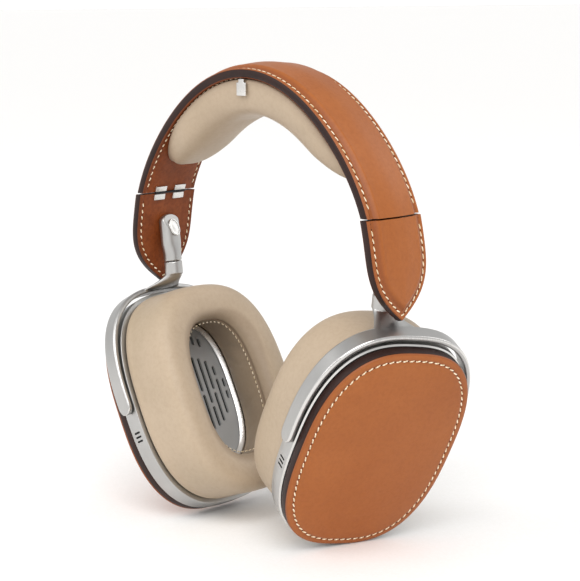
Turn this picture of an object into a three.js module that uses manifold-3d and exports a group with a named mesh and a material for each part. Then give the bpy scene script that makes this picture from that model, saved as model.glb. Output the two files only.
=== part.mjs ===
// Over-ear headphones with a leather headband, folding side tabs and forked metal arms.
// Millimetres. +Z is up and -Y is the front. Pieces named right are on +X.
// The origin is the middle of the crown cushion's underside, where a head or a stand holds them.
import * as THREE from 'three';
import { mergeVertices } from 'three/addons/utils/BufferGeometryUtils.js';
import Module from 'manifold-3d';

const wasm = await Module();
wasm.setup();

// Driving dimensions
const gap = 0.3;                 // clearance between pieces that touch
const bandHalfWidth = 15;        // headband, front to back
const bandThickness = 4;
const coverThickness = 1.2;
const panelHeight = 1.6;         // raised middle of each leather cover
const stitchBorder = 2.8;        // flat border that carries the stitches
const panelRamp = 2.6;           // width of the slope between the two
const archCentre = -19.4;        // height of the arch's centre below the hinge line
const archRadius = 72.65;
const archStretch = 1.65;        // taller than wide
const archShoulder = 1.4;        // flatter shoulders
const foldGap = 0.35;            // half the gap at the fold line
const cushionDrop = 15.5;        // crown cushion, depth under the band
const cushionSpan = 1.05;        // and how far it runs from the crown, as an angle
const tabLength = 40.4;
const tabSlope = 0.24;
const tabCurve = 0.0032;
const armAngle = 7.5 * Math.PI / 180;   // the arm's lean from upright
const armFoot = { x: 63.2, z: -31 };    // where the socket ends and the stem starts
const socketLength = 21;
const stemRadius = 4;
const rodTop = 15;
const stemLength = 5;            // round part of the yoke's stem
const rodRadius = 2;
const cupTilt = 26.7 * Math.PI / 180;
const cupX = 60.6;               // middle of the outer disc
const cupZ = -96.2;
const cupHalfWidth = 35.5;
const cupHalfHeight = 48.5;
const cupRoundness = 2.7;        // exponent of the rounded oval outline
const pivotHeight = 2;           // yoke pivots, above the cup's middle
const rightSwivel = -17.6 * Math.PI / 180;
const earDepth = 26;
const earDroop = 0.14;           // the ear cushion's tip hangs lower than its seat
const cupSides = 40;
const ringFront = -5.7;          // aluminium rim, measured from the outer disc's edge
const ringBack = -14.2;
const ringMiddle = (ringFront + ringBack) / 2;
const rimLip = 0.7;
const micHeight = -12;
const playHeight = -13;
const volumeHeight = -25;
const noiseHeight = -16;
const yokeHalfWidth = 4;
const yokeThickness = 2.2;
const yokeRise = 0.8;
const yokeSteps = 22;
const saddleHalfWidth = 15;
const saddleSides = 20;
const saddleSteps = 9;
const capLean = 0.35;
const clipWidth = 5.4;
const clipHeight = 5.4;
const clipDrop = 1.4;            // below the lining
const cushionSeat = 5;           // crown cushion's top, measured like the band's layers
const leafWidth = 6.1;
const leafLength = 2.6;
const leafStart = 0.8;           // from the fold line
const leafSpread = 5.4;
const leafThickness = 0.9;
const archLean = 0.32;           // lean of the arch at the fold line
const tabTop = 69.3;             // outer face of the tab at the fold line
const foldX = tabTop - bandThickness - gap - 0.55;

const tan = { color: '#b9703d', roughness: 0.6, metalness: 0 };
const lining = { color: '#8a4822', roughness: 0.65, metalness: 0 };
const paint = { color: '#3c1e1a', roughness: 0.45, metalness: 0 };
const beige = { color: '#c0aa92', roughness: 0.6, metalness: 0 };
const satin = { color: '#8f8f8d', roughness: 0.4, metalness: 1 };
const bright = { color: '#c9c9c6', roughness: 0.2, metalness: 1 };
const steel = { color: '#9a9c9e', roughness: 0.35, metalness: 1 };
const dark = { color: '#26262a', roughness: 0.6, metalness: 0 };
const board = { color: '#1f4f34', roughness: 0.6, metalness: 0 };
const baffleGrey = { color: '#7d7d80', roughness: 0.5, metalness: 0.4 };

const headphones = new THREE.Group();

// Helpers: lofts, sweeps and booleans

function indexed(positions, triangles) {
  const geometry = new THREE.BufferGeometry();
  geometry.setAttribute('position', new THREE.Float32BufferAttribute(positions, 3));
  geometry.setIndex(triangles);
  return geometry;
}

// Joins rings of equal length in order. A closed loft joins the last ring to the first,
// and an open one is closed by a fan at each end.
function loft(rings, closed = false) {
  const count = rings[0].length;
  const positions = rings.flat().flatMap((p) => [p.x, p.y, p.z]);
  const triangles = [];
  const steps = closed ? rings.length : rings.length - 1;
  for (let i = 0; i < steps; i++) {
    const a = i * count;
    const b = ((i + 1) % rings.length) * count;
    for (let j = 0; j < count; j++) {
      const k = (j + 1) % count;
      triangles.push(a + j, a + k, b + k, a + j, b + k, b + j);
    }
  }
  if (!closed) {
    capRing(rings[0], 0, positions, triangles, true);
    capRing(rings.at(-1), (rings.length - 1) * count, positions, triangles, false);
  }
  return outward(indexed(positions, triangles));
}

function capRing(ring, first, positions, triangles, flip) {
  const middle = ring.reduce((sum, p) => sum.add(p), new THREE.Vector3());
  middle.divideScalar(ring.length);
  const centre = positions.length / 3;
  positions.push(middle.x, middle.y, middle.z);
  for (let j = 0; j < ring.length; j++) {
    const a = first + j;
    const b = first + (j + 1) % ring.length;
    triangles.push(...(flip ? [centre, b, a] : [centre, a, b]));
  }
}

// Turns every face outward, by the sign of the enclosed volume.
function outward(geometry) {
  const p = geometry.attributes.position;
  const index = geometry.index.array;
  const a = new THREE.Vector3();
  const b = new THREE.Vector3();
  const c = new THREE.Vector3();
  let volume = 0;
  for (let i = 0; i < index.length; i += 3) {
    a.fromBufferAttribute(p, index[i]);
    b.fromBufferAttribute(p, index[i + 1]);
    c.fromBufferAttribute(p, index[i + 2]);
    volume += a.dot(b.cross(c));
  }
  if (volume > 0) return geometry;
  const turned = [];
  for (let i = 0; i < index.length; i += 3) {
    turned.push(index[i], index[i + 2], index[i + 1]);
  }
  geometry.setIndex(turned);
  return geometry;
}

// A copy with shared corners, which a closed solid needs.
function welded(geometry) {
  const bare = geometry.clone();
  bare.deleteAttribute('normal');
  bare.deleteAttribute('uv');
  return mergeVertices(bare, 1e-4);
}

function solid(geometry) {
  const merged = welded(geometry);
  return new wasm.Manifold(new wasm.Mesh({
    numProp: 3,
    vertProperties: new Float32Array(merged.attributes.position.array),
    triVerts: new Uint32Array(merged.index.array),
  }));
}

function fromSolid(manifold) {
  const mesh = manifold.getMesh();
  return indexed(Array.from(mesh.vertProperties), Array.from(mesh.triVerts));
}

function cut(geometry, ...tools) {
  return fromSolid(tools.reduce((body, tool) => body.subtract(solid(tool)), solid(geometry)));
}

function join(...pieces) {
  return fromSolid(pieces.map(solid).reduce((body, piece) => body.add(piece)));
}

function box(sizeX, sizeY, sizeZ, x = 0, y = 0, z = 0) {
  return new THREE.BoxGeometry(sizeX, sizeY, sizeZ).translate(x, y, z);
}

// A cylinder along +Z from z0 to z1.
function post(radius, z0, z1, sides = 24) {
  const geometry = new THREE.CylinderGeometry(radius, radius, z1 - z0, sides);
  return geometry.rotateX(Math.PI / 2).translate(0, 0, (z0 + z1) / 2);
}

function add(name, look, geometry, parent) {
  const material = new THREE.MeshStandardMaterial(look);
  const mesh = new THREE.Mesh(geometry, material);
  mesh.name = name;
  parent.add(mesh);
  return mesh;
}

// Headband

function archPoint(angle, inset, y) {
  const radius = archRadius - inset - archStretch * Math.cos(2 * angle)
    + archShoulder * Math.cos(4 * angle);
  return new THREE.Vector3(radius * Math.cos(angle), y, archCentre + radius * Math.sin(angle));
}

// Angle at which the arch's given layer crosses the fold line.
function foldAngle(inset) {
  let angle = 0.27;
  for (let i = 0; i < 20; i++) {
    const error = archPoint(angle, inset, 0).z - foldGap;
    angle -= error / archRadius;
  }
  return angle;
}

// A layer of the arch, with a section given as [y, inset] points.
function archLayer(section, trim = 0, steps = 30) {
  const rings = [];
  for (let i = 0; i <= steps; i++) {
    rings.push(section.map(([y, inset]) => {
      const start = foldAngle(inset) + trim;
      return archPoint(start + (Math.PI - 2 * start) * i / steps, inset, y);
    }));
  }
  return loft(rings);
}

function slab(halfWidth, top, bottom) {
  return [[-halfWidth, top], [halfWidth, top], [halfWidth, bottom], [-halfWidth, bottom]];
}

function coverSection(halfWidth) {
  const border = halfWidth - stitchBorder;
  const panel = border - panelRamp;
  return [
    [-halfWidth, 0], [-border, 0], [-panel, 0.25 - panelHeight], [-panel / 2, -panelHeight],
    [panel / 2, -panelHeight], [panel, 0.25 - panelHeight], [border, 0], [halfWidth, 0],
    [halfWidth, coverThickness], [-halfWidth, coverThickness],
  ];
}

// The crown cushion: a leaf-shaped pad that hangs under the arch.
function crownCushion() {
  const steps = 18;
  const endWidth = 3;
  const endDepth = 1.5;
  const rings = [];
  for (let i = 0; i <= steps; i++) {
    const along = -Math.cos(Math.PI * i / steps);
    const angle = Math.PI / 2 - along * cushionSpan;
    const fullness = Math.sqrt(Math.max(0, 1 - Math.abs(along) ** 3.4));
    const halfWidth = endWidth + (bandHalfWidth - endWidth) * Math.min(1, 1.15 * fullness);
    const depth = endDepth + (cushionDrop - endDepth) * fullness;
    rings.push(cushionRing(angle, halfWidth, depth));
  }
  return loft(rings);
}

function cushionRing(angle, halfWidth, depth) {
  const sides = 14;
  const roundness = 0.55;
  const top = cushionSeat;
  const ring = [archPoint(angle, top, -halfWidth), archPoint(angle, top, halfWidth)];
  for (let j = 1; j < sides; j++) {
    const turn = Math.PI * j / sides;
    const y = halfWidth * Math.sign(Math.cos(turn)) * Math.abs(Math.cos(turn)) ** roundness;
    ring.push(archPoint(angle, top + depth * Math.sin(turn) ** roundness, y));
  }
  return ring;
}

// The clip at the middle of the front edge, hooked between the lining and the cushion.
function crownClip() {
  const under = archPoint(Math.PI / 2, bandThickness + gap, 0).z;
  const front = -bandHalfWidth - 0.65;
  const plate = box(clipWidth, 0.7, clipHeight, 0, front, under - clipDrop - clipHeight / 2);
  const neck = box(3, 0.7, clipDrop + 0.6, 0, front, under - clipDrop / 2 - 0.3);
  const hook = box(3, 4, 0.4, 0, -bandHalfWidth + 1.2, under - 0.2);
  return join(plate, neck, hook);
}

// Folding hinges

// A leaf lies on the lining: above the fold line on the arch, below it on the tab.
function hingeLeaf(y, above) {
  const reach = above ? 1 : -1;
  const leaf = box(leafThickness, leafWidth, leafLength, 0, 0, reach * (leafLength / 2 + leafStart));
  leaf.rotateY(above ? -archLean : -Math.atan(tabSlope));
  return leaf.translate(foldX - (above ? 0.4 : 0), y, 0);
}

function hingePin() {
  const pin = new THREE.CylinderGeometry(0.5, 0.5, leafSpread * 2 + leafWidth, 12);
  return pin.translate(foldX - 0.1, 0, 0);
}

// Tabs

function tabOuter(depth) {
  return tabTop + tabSlope * depth - tabCurve * depth * depth;
}

function tabHalfWidth(depth) {
  const taper = Math.max(0, (depth - 10) / (tabLength - 10));
  return 0.3 + (bandHalfWidth + 0.4) * (1 - taper ** 3.2) ** 1.1;
}

// A layer of the tab, between two insets from its outer face.
function tabLayer(outerInset, innerInset, margin = 0, trim = 0) {
  const steps = 16;
  const rings = [];
  for (let i = 0; i <= steps; i++) {
    const travel = tabLength - foldGap - 2 * trim;
    const depth = foldGap + trim + travel * Math.sin(Math.PI / 2 * i / steps);
    const half = Math.max(0.35, tabHalfWidth(depth + trim) - margin);
    const x = tabOuter(depth);
    rings.push([
      new THREE.Vector3(x - outerInset, -half, -depth),
      new THREE.Vector3(x - outerInset, half, -depth),
      new THREE.Vector3(x - innerInset, half, -depth),
      new THREE.Vector3(x - innerInset, -half, -depth),
    ]);
  }
  return loft(rings);
}

function tabCover() {
  const root = coverThickness - 0.4;
  const low = tabLayer(0.3 - panelHeight, root, stitchBorder + panelRamp / 2, 0.6);
  const high = tabLayer(-panelHeight, root, stitchBorder + panelRamp, 0.9);
  return join(tabLayer(0, coverThickness), low, high);
}

// Arms: socket, cap, rod, and the yoke that turns on the rod

// Moves a piece drawn along +Z onto the arm's axis, with 0 at the socket's lower end.
function onArm(geometry) {
  geometry.rotateY(armAngle);
  return geometry.translate(armFoot.x, 0, armFoot.z);
}

function armSocket() {
  const rings = [];
  const steps = 10;
  for (let i = 0; i <= steps; i++) {
    const height = socketLength * i / steps;
    const dome = i === steps ? 0.45 : i === steps - 1 ? 0.85 : 1;
    const swell = THREE.MathUtils.smoothstep(height, 3, 9);
    const width = (stemRadius + 0.9 * swell) * dome;
    rings.push(ellipseRing(width, (stemRadius - 0.4 * swell) * dome, height, 20));
  }
  const bore = onArm(post(rodRadius + gap, -1, rodTop + 0.5));
  const tabSide = tabLayer(-8, bandThickness + gap, -4);
  return cut(onArm(loft(rings)), bore, tabSide, capFacet());
}

function ellipseRing(halfY, halfX, z, sides) {
  const ring = [];
  for (let j = 0; j < sides; j++) {
    const turn = 2 * Math.PI * j / sides;
    ring.push(new THREE.Vector3(halfX * Math.cos(turn), halfY * Math.sin(turn), z));
  }
  return ring;
}

// The slanted flat near the socket's top, which faces inward and up.
function capPlace(geometry) {
  geometry.rotateY(-Math.PI / 2 + capLean);
  return onArm(geometry.translate(-3, 0, socketLength - 6.2));
}

function capFacet() {
  return capPlace(box(14, 12, 6, 0, 0, 3));
}

function socketCap() {
  const cap = new THREE.CylinderGeometry(1, 1, 0.7, 28).rotateX(Math.PI / 2);
  return capPlace(cap.scale(4, 2.7, 1).translate(0, 0, 0.35 + gap / 4));
}

// Cups. A cup is drawn with x to the back, y up along its face and z out of its face.

function outlineRadius(angle, inset) {
  const a = cupHalfWidth - inset;
  const b = cupHalfHeight - inset;
  const across = Math.abs(Math.cos(angle) / a) ** cupRoundness;
  const along = Math.abs(Math.sin(angle) / b) ** cupRoundness;
  return (across + along) ** (-1 / cupRoundness);
}

function outlinePoint(angle, inset, z) {
  const radius = outlineRadius(angle, inset);
  return new THREE.Vector3(radius * Math.cos(angle), radius * Math.sin(angle), z);
}

function outlineRing(inset, z, sides = cupSides) {
  const ring = [];
  for (let j = 0; j < sides; j++) ring.push(outlinePoint(2 * Math.PI * j / sides, inset, z));
  return ring;
}

// A disc or bowl that follows the cup's outline, from [inset, z] rings.
function cupStack(profile, sides = cupSides) {
  return loft(profile.map(([inset, z]) => outlineRing(inset, z, sides)));
}

// A hollow ring that follows the cup's outline, from a closed [inset, z] loop.
function cupHoop(profile, sides = cupSides) {
  return loft(profile.map(([inset, z]) => outlineRing(inset, z, sides)), true);
}

// Moves a piece drawn with x outward to the rim, at the given height on the cup.
function onRim(geometry, height, back, z = ringMiddle, inset = 0) {
  const guess = Math.asin(height / cupHalfHeight);
  let angle = back ? guess : Math.PI - guess;
  for (let i = 0; i < 12; i++) {
    const error = height - outlinePoint(angle, inset - rimLip, 0).y;
    angle += (back ? 1 : -1) * error / cupHalfWidth;
  }
  const here = outlinePoint(angle, inset - rimLip, 0);
  const ahead = outlinePoint(angle + 0.01, inset - rimLip, 0).sub(here);
  const turn = Math.atan2(-ahead.x, ahead.y);
  return geometry.rotateZ(turn).translate(here.x, here.y, z);
}

function cupShell(side) {
  const lip = -rimLip;
  const wall = 2.4;
  const shell = cupStack([
    [wall, -7.6], [wall, ringBack], [lip + 0.5, ringBack], [lip, ringBack + 0.5],
    [lip, ringFront - 0.6], [lip + 0.6, ringFront],
  ]);
  const openings = [onRim(box(1.6, 6.6, 5.2), micHeight, false)];
  if (side === 'right') {
    openings.push(onRim(buttonHole(2.6, 2.6), playHeight, true));
    openings.push(onRim(buttonHole(2.1, 6.1), volumeHeight, true));
  } else {
    openings.push(onRim(buttonHole(2.1, 4.6), noiseHeight, true));
    openings.push(portPlace(roundedBar(10, 4, 12)));
  }
  for (const back of [false, true]) openings.push(onRim(pivotBore(), pivotHeight, back));
  return cut(shell, ...openings);
}

// A hard-edged bar with round ends: depth along x, length along y and width along z.
function roundedBar(length, width, depth) {
  const shape = new THREE.Shape();
  const half = (length - width) / 2;
  shape.absarc(0, half, width / 2, 0, Math.PI);
  shape.absarc(0, -half, width / 2, Math.PI, 2 * Math.PI);
  const bar = new THREE.ExtrudeGeometry(shape, { depth, bevelEnabled: false, curveSegments: 8 });
  bar.translate(0, 0, -depth / 2).rotateX(Math.PI / 2);
  return bar.rotateZ(Math.PI / 2).rotateX(Math.PI / 2);
}

function buttonHole(halfWidth, halfLength) {
  return roundedBar(2 * halfLength, 2 * halfWidth, 9);
}

function pivotBore() {
  const bore = new THREE.CylinderGeometry(2.1, 2.1, 9, 20);
  return bore.rotateZ(Math.PI / 2);
}

function portPlace(geometry) {
  return geometry.rotateZ(-Math.PI / 2).translate(0, -cupHalfHeight - rimLip, ringMiddle);
}

function micGrille() {
  const pitch = 1.9;
  const plate = box(0.8, 6, 4.6, -0.4, 0, 0);
  const slots = [-pitch, 0, pitch].map((y) => box(2, 0.85, 3.6, 0, y, 0));
  return onRim(cut(plate, ...slots), micHeight, false);
}

function button(halfWidth, halfLength, height) {
  const stem = roundedBar(2 * (halfLength - gap), 2 * (halfWidth - gap), 3);
  return onRim(stem.translate(-1, 0, 0), height, true);
}

function chargingPort() {
  const sleeve = roundedBar(9.2, 3.2, 5);
  const mouth = roundedBar(8.2, 2.3, 5).translate(0.8, 0, 0);
  const tongue = box(3.6, 6, 0.7, -0.4, 0, 0);
  return portPlace(join(cut(sleeve, mouth), tongue).translate(-2.6, 0, 0));
}

// The plate that the driver fires through: a round field of long slots in two parts,
// with a curved row of short ones above.
function baffle() {
  const pitch = 3.4;
  const field = 17.5;
  const slots = [];
  for (let column = -5; column <= 5; column++) {
    const x = column * pitch;
    const reach = field * Math.sqrt(1 - (column / 5.2) ** 2);
    const bridge = slotBridge(column);
    slots.push(...slotPart(x, bridge + 0.6, reach), ...slotPart(x, -reach, bridge - 0.6));
    if (Math.abs(column) <= 3) {
      const row = 25.8 - 0.3 * column ** 2;
      slots.push(...slotPart(x, row - 2.1, row + 2.1));
    }
  }
  return cut(cupStack([[3.2, ringBack + 1.2], [3.2, ringBack + 0.2]]), ...slots);
}

// Height of the bridge between a column's two slots; the bridges step up and down.
function slotBridge(column) {
  if (column % 2) return 0;
  return column % 4 ? -6 : 6;
}

function slotPart(x, low, high) {
  if (high - low < 1.6) return [];
  return [box(1.5, high - low, 4, x, (low + high) / 2, ringBack)];
}

// The yoke's outer line stands off the rim, further at the top than at the pivots.
function yokeInset(angle) {
  return -rimLip - 0.6 - yokeRise * Math.max(0, Math.sin(angle));
}

function yokeSection(angle, halfWidth) {
  const inner = yokeInset(angle);
  const outer = inner - yokeThickness;
  const bevel = Math.min(0.5, halfWidth / 2);
  return [
    outlinePoint(angle, inner, ringMiddle - halfWidth + bevel),
    outlinePoint(angle, inner, ringMiddle + halfWidth - bevel),
    outlinePoint(angle, inner - bevel, ringMiddle + halfWidth),
    outlinePoint(angle, outer + bevel, ringMiddle + halfWidth),
    outlinePoint(angle, outer, ringMiddle + halfWidth - bevel),
    outlinePoint(angle, outer, ringMiddle - halfWidth + bevel),
    outlinePoint(angle, outer + bevel, ringMiddle - halfWidth),
    outlinePoint(angle, inner - bevel, ringMiddle - halfWidth),
  ];
}

function yokeBand() {
  const first = Math.asin((pivotHeight - yokeHalfWidth) / cupHalfHeight);
  const tip = [0.15, 0.6, 1.4, 2.6, yokeHalfWidth];
  const sections = [];
  for (const reach of tip) {
    const half = Math.sqrt(yokeHalfWidth ** 2 - (yokeHalfWidth - reach) ** 2);
    sections.push([first + reach / cupHalfWidth, half]);
  }
  const start = first + yokeHalfWidth / cupHalfWidth;
  const sweep = Math.PI - 2 * start;
  for (let i = 1; i < yokeSteps; i++) {
    sections.push([start + sweep * i / yokeSteps, yokeHalfWidth]);
  }
  for (const [angle, half] of sections.slice(0, tip.length).reverse()) {
    sections.push([Math.PI - angle, half]);
  }
  return loft(sections.map(([angle, half]) => yokeSection(angle, half)));
}

function armPoint(height) {
  const x = armFoot.x + height * Math.sin(armAngle);
  return new THREE.Vector3(x, 0, armFoot.z + height * Math.cos(armAngle));
}

// The saddle that flows from the round stem down and outward into the band.
function yokeSaddle(worldToCup) {
  const crest = outlineRadius(Math.PI / 2, yokeInset(Math.PI / 2) - yokeThickness / 2);
  const root = armPoint(-stemLength).applyMatrix4(worldToCup);
  const path = new THREE.QuadraticBezierCurve3(
    root,
    armPoint(-stemLength - 3.2).applyMatrix4(worldToCup),
    new THREE.Vector3(root.x / 2, crest, ringMiddle + yokeHalfWidth - 1.2),
  );
  const rings = [];
  for (let i = 0; i <= saddleSteps; i++) {
    rings.push(saddleRing(path, i / saddleSteps, crest));
  }
  return loft(rings);
}

function saddleRing(path, along, crest) {
  const middle = path.getPoint(along);
  const ahead = path.getTangent(along);
  const rise = new THREE.Vector3(0, -ahead.z, ahead.y).multiplyScalar(-1);
  const spread = along ** 2.4;
  const root = stemRadius - 0.12;
  const halfWidth = THREE.MathUtils.lerp(root, saddleHalfWidth, spread);
  const halfDepth = THREE.MathUtils.lerp(root, yokeThickness / 4, along ** 0.65);
  const ring = [];
  for (let j = 0; j < saddleSides; j++) {
    const turn = 2 * Math.PI * j / saddleSides;
    const power = 1 - 0.6 * spread;
    const reach = Math.sign(Math.cos(turn)) * Math.abs(Math.cos(turn)) ** power;
    const x = middle.x + halfWidth * reach;
    const h = halfDepth * Math.sin(turn);
    const sag = spread * (crest - bandHeight(x));
    ring.push(new THREE.Vector3(x, middle.y + rise.y * h - sag, middle.z + rise.z * h));
  }
  return ring;
}

// Height of the yoke band's middle line at a distance from the centre line.
function bandHeight(x) {
  let angle = Math.PI / 2;
  for (let i = 0; i < 8; i++) {
    const inset = yokeInset(angle) - yokeThickness / 2;
    angle -= (x - outlinePoint(angle, inset, 0).x) / cupHalfHeight;
  }
  return outlinePoint(angle, yokeInset(angle) - yokeThickness / 2, 0).y;
}

function yoke(worldToCup) {
  const stem = onArm(post(stemRadius, -stemLength - 0.6, -gap, saddleSides));
  const bore = onArm(post(rodRadius + gap, -stemLength, 2));
  stem.applyMatrix4(worldToCup);
  bore.applyMatrix4(worldToCup);
  const screws = [false, true].map((back) => onRim(pivotHole(), pivotHeight, back));
  return cut(join(yokeBand(), yokeSaddle(worldToCup), stem), bore, ...screws);
}

function pivotHole() {
  const hole = new THREE.CylinderGeometry(1.5, 1.5, 12, 16);
  return hole.rotateZ(Math.PI / 2);
}

function pivotPin() {
  const head = new THREE.CylinderGeometry(1.8, 1.8, 1.6, 20).rotateZ(Math.PI / 2);
  const shank = new THREE.CylinderGeometry(1.2, 1.2, 4, 16).rotateZ(Math.PI / 2);
  return join(head.translate(-1.6, 0, 0), shank.translate(0.6, 0, 0));
}

// Placing

// The cup's frame on the right side, turned about its own upright axis by the swivel.
function cupFrame(swivel) {
  const up = new THREE.Vector3(Math.sin(cupTilt), 0, Math.cos(cupTilt));
  const out = new THREE.Vector3(Math.cos(cupTilt), 0, -Math.sin(cupTilt));
  const back = new THREE.Vector3(0, 1, 0);
  out.applyAxisAngle(up, swivel);
  back.applyAxisAngle(up, swivel);
  return new THREE.Matrix4().makeBasis(back, up, out).setPosition(cupX, 0, cupZ);
}

function mirrored(geometry) {
  return outward(welded(geometry).scale(-1, 1, 1));
}

function buildSide(side, swivel, group) {
  const place = (name, look, geometry) => {
    add(`${name}_${side}`, look, side === 'left' ? mirrored(geometry) : geometry, group);
  };
  const cupToWorld = cupFrame(swivel);
  const turned = (name, look, geometry) => place(name, look, geometry.applyMatrix4(cupToWorld));
  buildTab(place);
  buildArm(place);
  turned('yoke', satin, yoke(cupToWorld.clone().invert()));
  buildCup(side, turned);
}

function buildTab(place) {
  for (const [end, y] of [['front', -leafSpread], ['back', leafSpread]]) {
    place(`hinge_upper_${end}`, satin, hingeLeaf(y, true));
    place(`hinge_lower_${end}`, satin, hingeLeaf(y, false));
  }
  place('hinge_pin', steel, hingePin());
  place('tab_cover', tan, tabCover());
  place('tab_plate', steel, tabLayer(1.5, 2.2, 2, 0.8));
  place('tab_lining', lining, tabLayer(2.5, bandThickness));
}

function buildArm(place) {
  place('arm_socket', satin, armSocket());
  place('socket_cap', bright, socketCap());
  place('arm_rod', bright, onArm(post(rodRadius, 0.6 - stemLength, rodTop)));
}

function buildCup(side, turned) {
  turned('cup_shell', satin, cupShell(side));
  turned('cover_board', paint, cupStack([[0.5, -5.4], [0, -5], [0, -1.8], [0.4, -1.5]]));
  turned('cover_leather', tan, cupStack([
    [0.4, -1.2], [0, -0.8], [0.5, -0.1], [4, 0.5], [10, 1.1], [18, 1.6], [28, 1.9],
  ]));
  turned('baffle', baffleGrey, baffle());
  turned('baffle_trim', bright, cupHoop([
    [14.6, -14.5], [16.9, -14.5], [17.2, -15.1], [15.4, -16.2], [14.6, -16.2],
  ]));
  turned('driver', dark, join(post(19, -12.4, -10.6, 36), post(9, -10.7, -8, 24)));
  turned('cushion_plate', dark, cupHoop([[3, -14.5], [14.2, -14.5], [14.2, -16], [3, -16]]));
  turned('ear_cushion', beige, earCushion());
  turned('mic_grille', bright, micGrille());
  for (const [end, back] of [['front', false], ['back', true]]) {
    turned(`pivot_${end}`, steel, onRim(pivotPin(), pivotHeight, back));
  }
  if (side === 'right') {
    turned('play_button', satin, button(2.6, 2.6, playHeight));
    turned('volume_rocker', satin, button(2.1, 6.1, volumeHeight));
    turned('circuit_board', board, box(26, 12, 1.2, 0, 30, -8.8));
  } else {
    turned('noise_button', satin, button(2.1, 4.6, noiseHeight));
    turned('charging_port', steel, chargingPort());
    turned('battery', steel, box(24, 14, 3, 0, 30, -9.6));
  }
}

// The ear cushion: a deep D-shaped section with a skirt that hides its plate.
function earCushion() {
  const skirt = ringBack - 0.4;
  const seat = ringBack - 2.1;
  const tip = seat - earDepth;
  const profile = [
    [2.7, skirt], [0.9, skirt], [0.5, seat - 3], [0.6, tip + 8], [1.8, tip + 3],
    [4.8, tip + 0.5], [9.6, tip], [14, tip + 0.6], [17, tip + 3], [18.2, tip + 7.5],
    [18, tip + 13], [16.6, seat - 5], [15.4, seat], [2.7, seat],
  ];
  const rings = profile.map(([inset, z]) => outlineRing(inset, z));
  for (const point of rings.flat()) {
    point.y -= earDroop * Math.max(0, seat - point.z);
  }
  return loft(rings, true);
}

function buildHeadband(group) {
  add('band_cover', tan, archLayer(coverSection(bandHalfWidth)), group);
  add('band_strip', steel, archLayer(slab(9, 1.5, 2.2), 0.05), group);
  add('band_lining', lining, archLayer(slab(bandHalfWidth, 2.5, bandThickness)), group);
  add('crown_cushion', beige, crownCushion(), group);
  add('crown_clip', satin, crownClip(), group);
}

const crownUnderside = archPoint(Math.PI / 2, cushionSeat + cushionDrop, 0).z;
const body = new THREE.Group();
body.position.z = -crownUnderside;
headphones.add(body);
buildHeadband(body);
buildSide('right', rightSwivel, body);
buildSide('left', 0, body);

export default headphones;
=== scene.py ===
# Over-ear headphones: the looks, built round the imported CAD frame.
import math
import bmesh
import bpy
import numpy as np
from mathutils import Matrix, Vector


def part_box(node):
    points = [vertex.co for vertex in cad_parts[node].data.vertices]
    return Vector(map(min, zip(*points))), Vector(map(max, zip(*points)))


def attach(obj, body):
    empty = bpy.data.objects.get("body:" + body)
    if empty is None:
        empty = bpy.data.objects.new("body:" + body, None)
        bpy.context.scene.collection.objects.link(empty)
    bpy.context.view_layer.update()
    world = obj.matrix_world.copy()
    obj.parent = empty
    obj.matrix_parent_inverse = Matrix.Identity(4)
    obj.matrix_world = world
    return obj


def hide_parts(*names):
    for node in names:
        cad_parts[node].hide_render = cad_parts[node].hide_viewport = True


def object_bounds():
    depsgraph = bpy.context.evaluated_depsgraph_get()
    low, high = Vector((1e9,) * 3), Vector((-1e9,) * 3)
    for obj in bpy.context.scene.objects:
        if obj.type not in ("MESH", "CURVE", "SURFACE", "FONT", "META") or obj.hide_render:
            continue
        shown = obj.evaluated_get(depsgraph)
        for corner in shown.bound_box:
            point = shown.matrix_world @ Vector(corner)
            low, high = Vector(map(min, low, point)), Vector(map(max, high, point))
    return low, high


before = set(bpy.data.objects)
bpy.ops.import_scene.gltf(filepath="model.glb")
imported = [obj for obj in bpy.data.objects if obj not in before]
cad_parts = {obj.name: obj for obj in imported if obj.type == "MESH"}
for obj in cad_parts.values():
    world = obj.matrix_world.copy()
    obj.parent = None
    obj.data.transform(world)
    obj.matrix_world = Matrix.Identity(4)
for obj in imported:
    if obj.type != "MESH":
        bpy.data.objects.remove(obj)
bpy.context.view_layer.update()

scene = bpy.context.scene
sides = ("right", "left")
mm = 0.001

# the fold line is the height that every drawing below starts from, in millimetres
foldGap = 0.35
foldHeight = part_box("band_cover")[0].z / mm - foldGap
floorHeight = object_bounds()[0].z - 0.0002

# camera
camera = {
    "azimuth": 46.1, "elevation": 9.7, "roll": -0.6, "distance": 0.7056, "lens": 103.87,
    "aim": (0, 0, foldHeight * mm - 0.03528), "shift": (0.0322, -0.0074),
}


def makeCamera():
    turn, lift = math.radians(camera["azimuth"]), math.radians(camera["elevation"])
    back = Vector((math.sin(turn) * math.cos(lift), -math.cos(turn) * math.cos(lift), math.sin(lift)))
    lens = bpy.data.cameras.new("camera")
    lens.lens = camera["lens"]
    lens.shift_x, lens.shift_y = camera["shift"]
    lens.clip_start, lens.clip_end = 0.01, 50
    body = bpy.data.objects.new("camera", lens)
    scene.collection.objects.link(body)
    body.location = Vector(camera["aim"]) + back * camera["distance"]
    upright = (-back).to_track_quat("-Z", "Y").to_matrix()
    body.rotation_euler = (upright @ Matrix.Rotation(math.radians(camera["roll"]), 3, "Z")).to_euler()
    scene.camera = body


makeCamera()
scene.view_settings.view_transform = "Standard"
print("camera placed")

# materials


def srgb(code):
    parts = [int(code[i:i + 2], 16) / 255 for i in (1, 3, 5)]
    linear = [c / 12.92 if c <= 0.04045 else ((c + 0.055) / 1.055) ** 2.4 for c in parts]
    return (*linear, 1.0)


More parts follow.
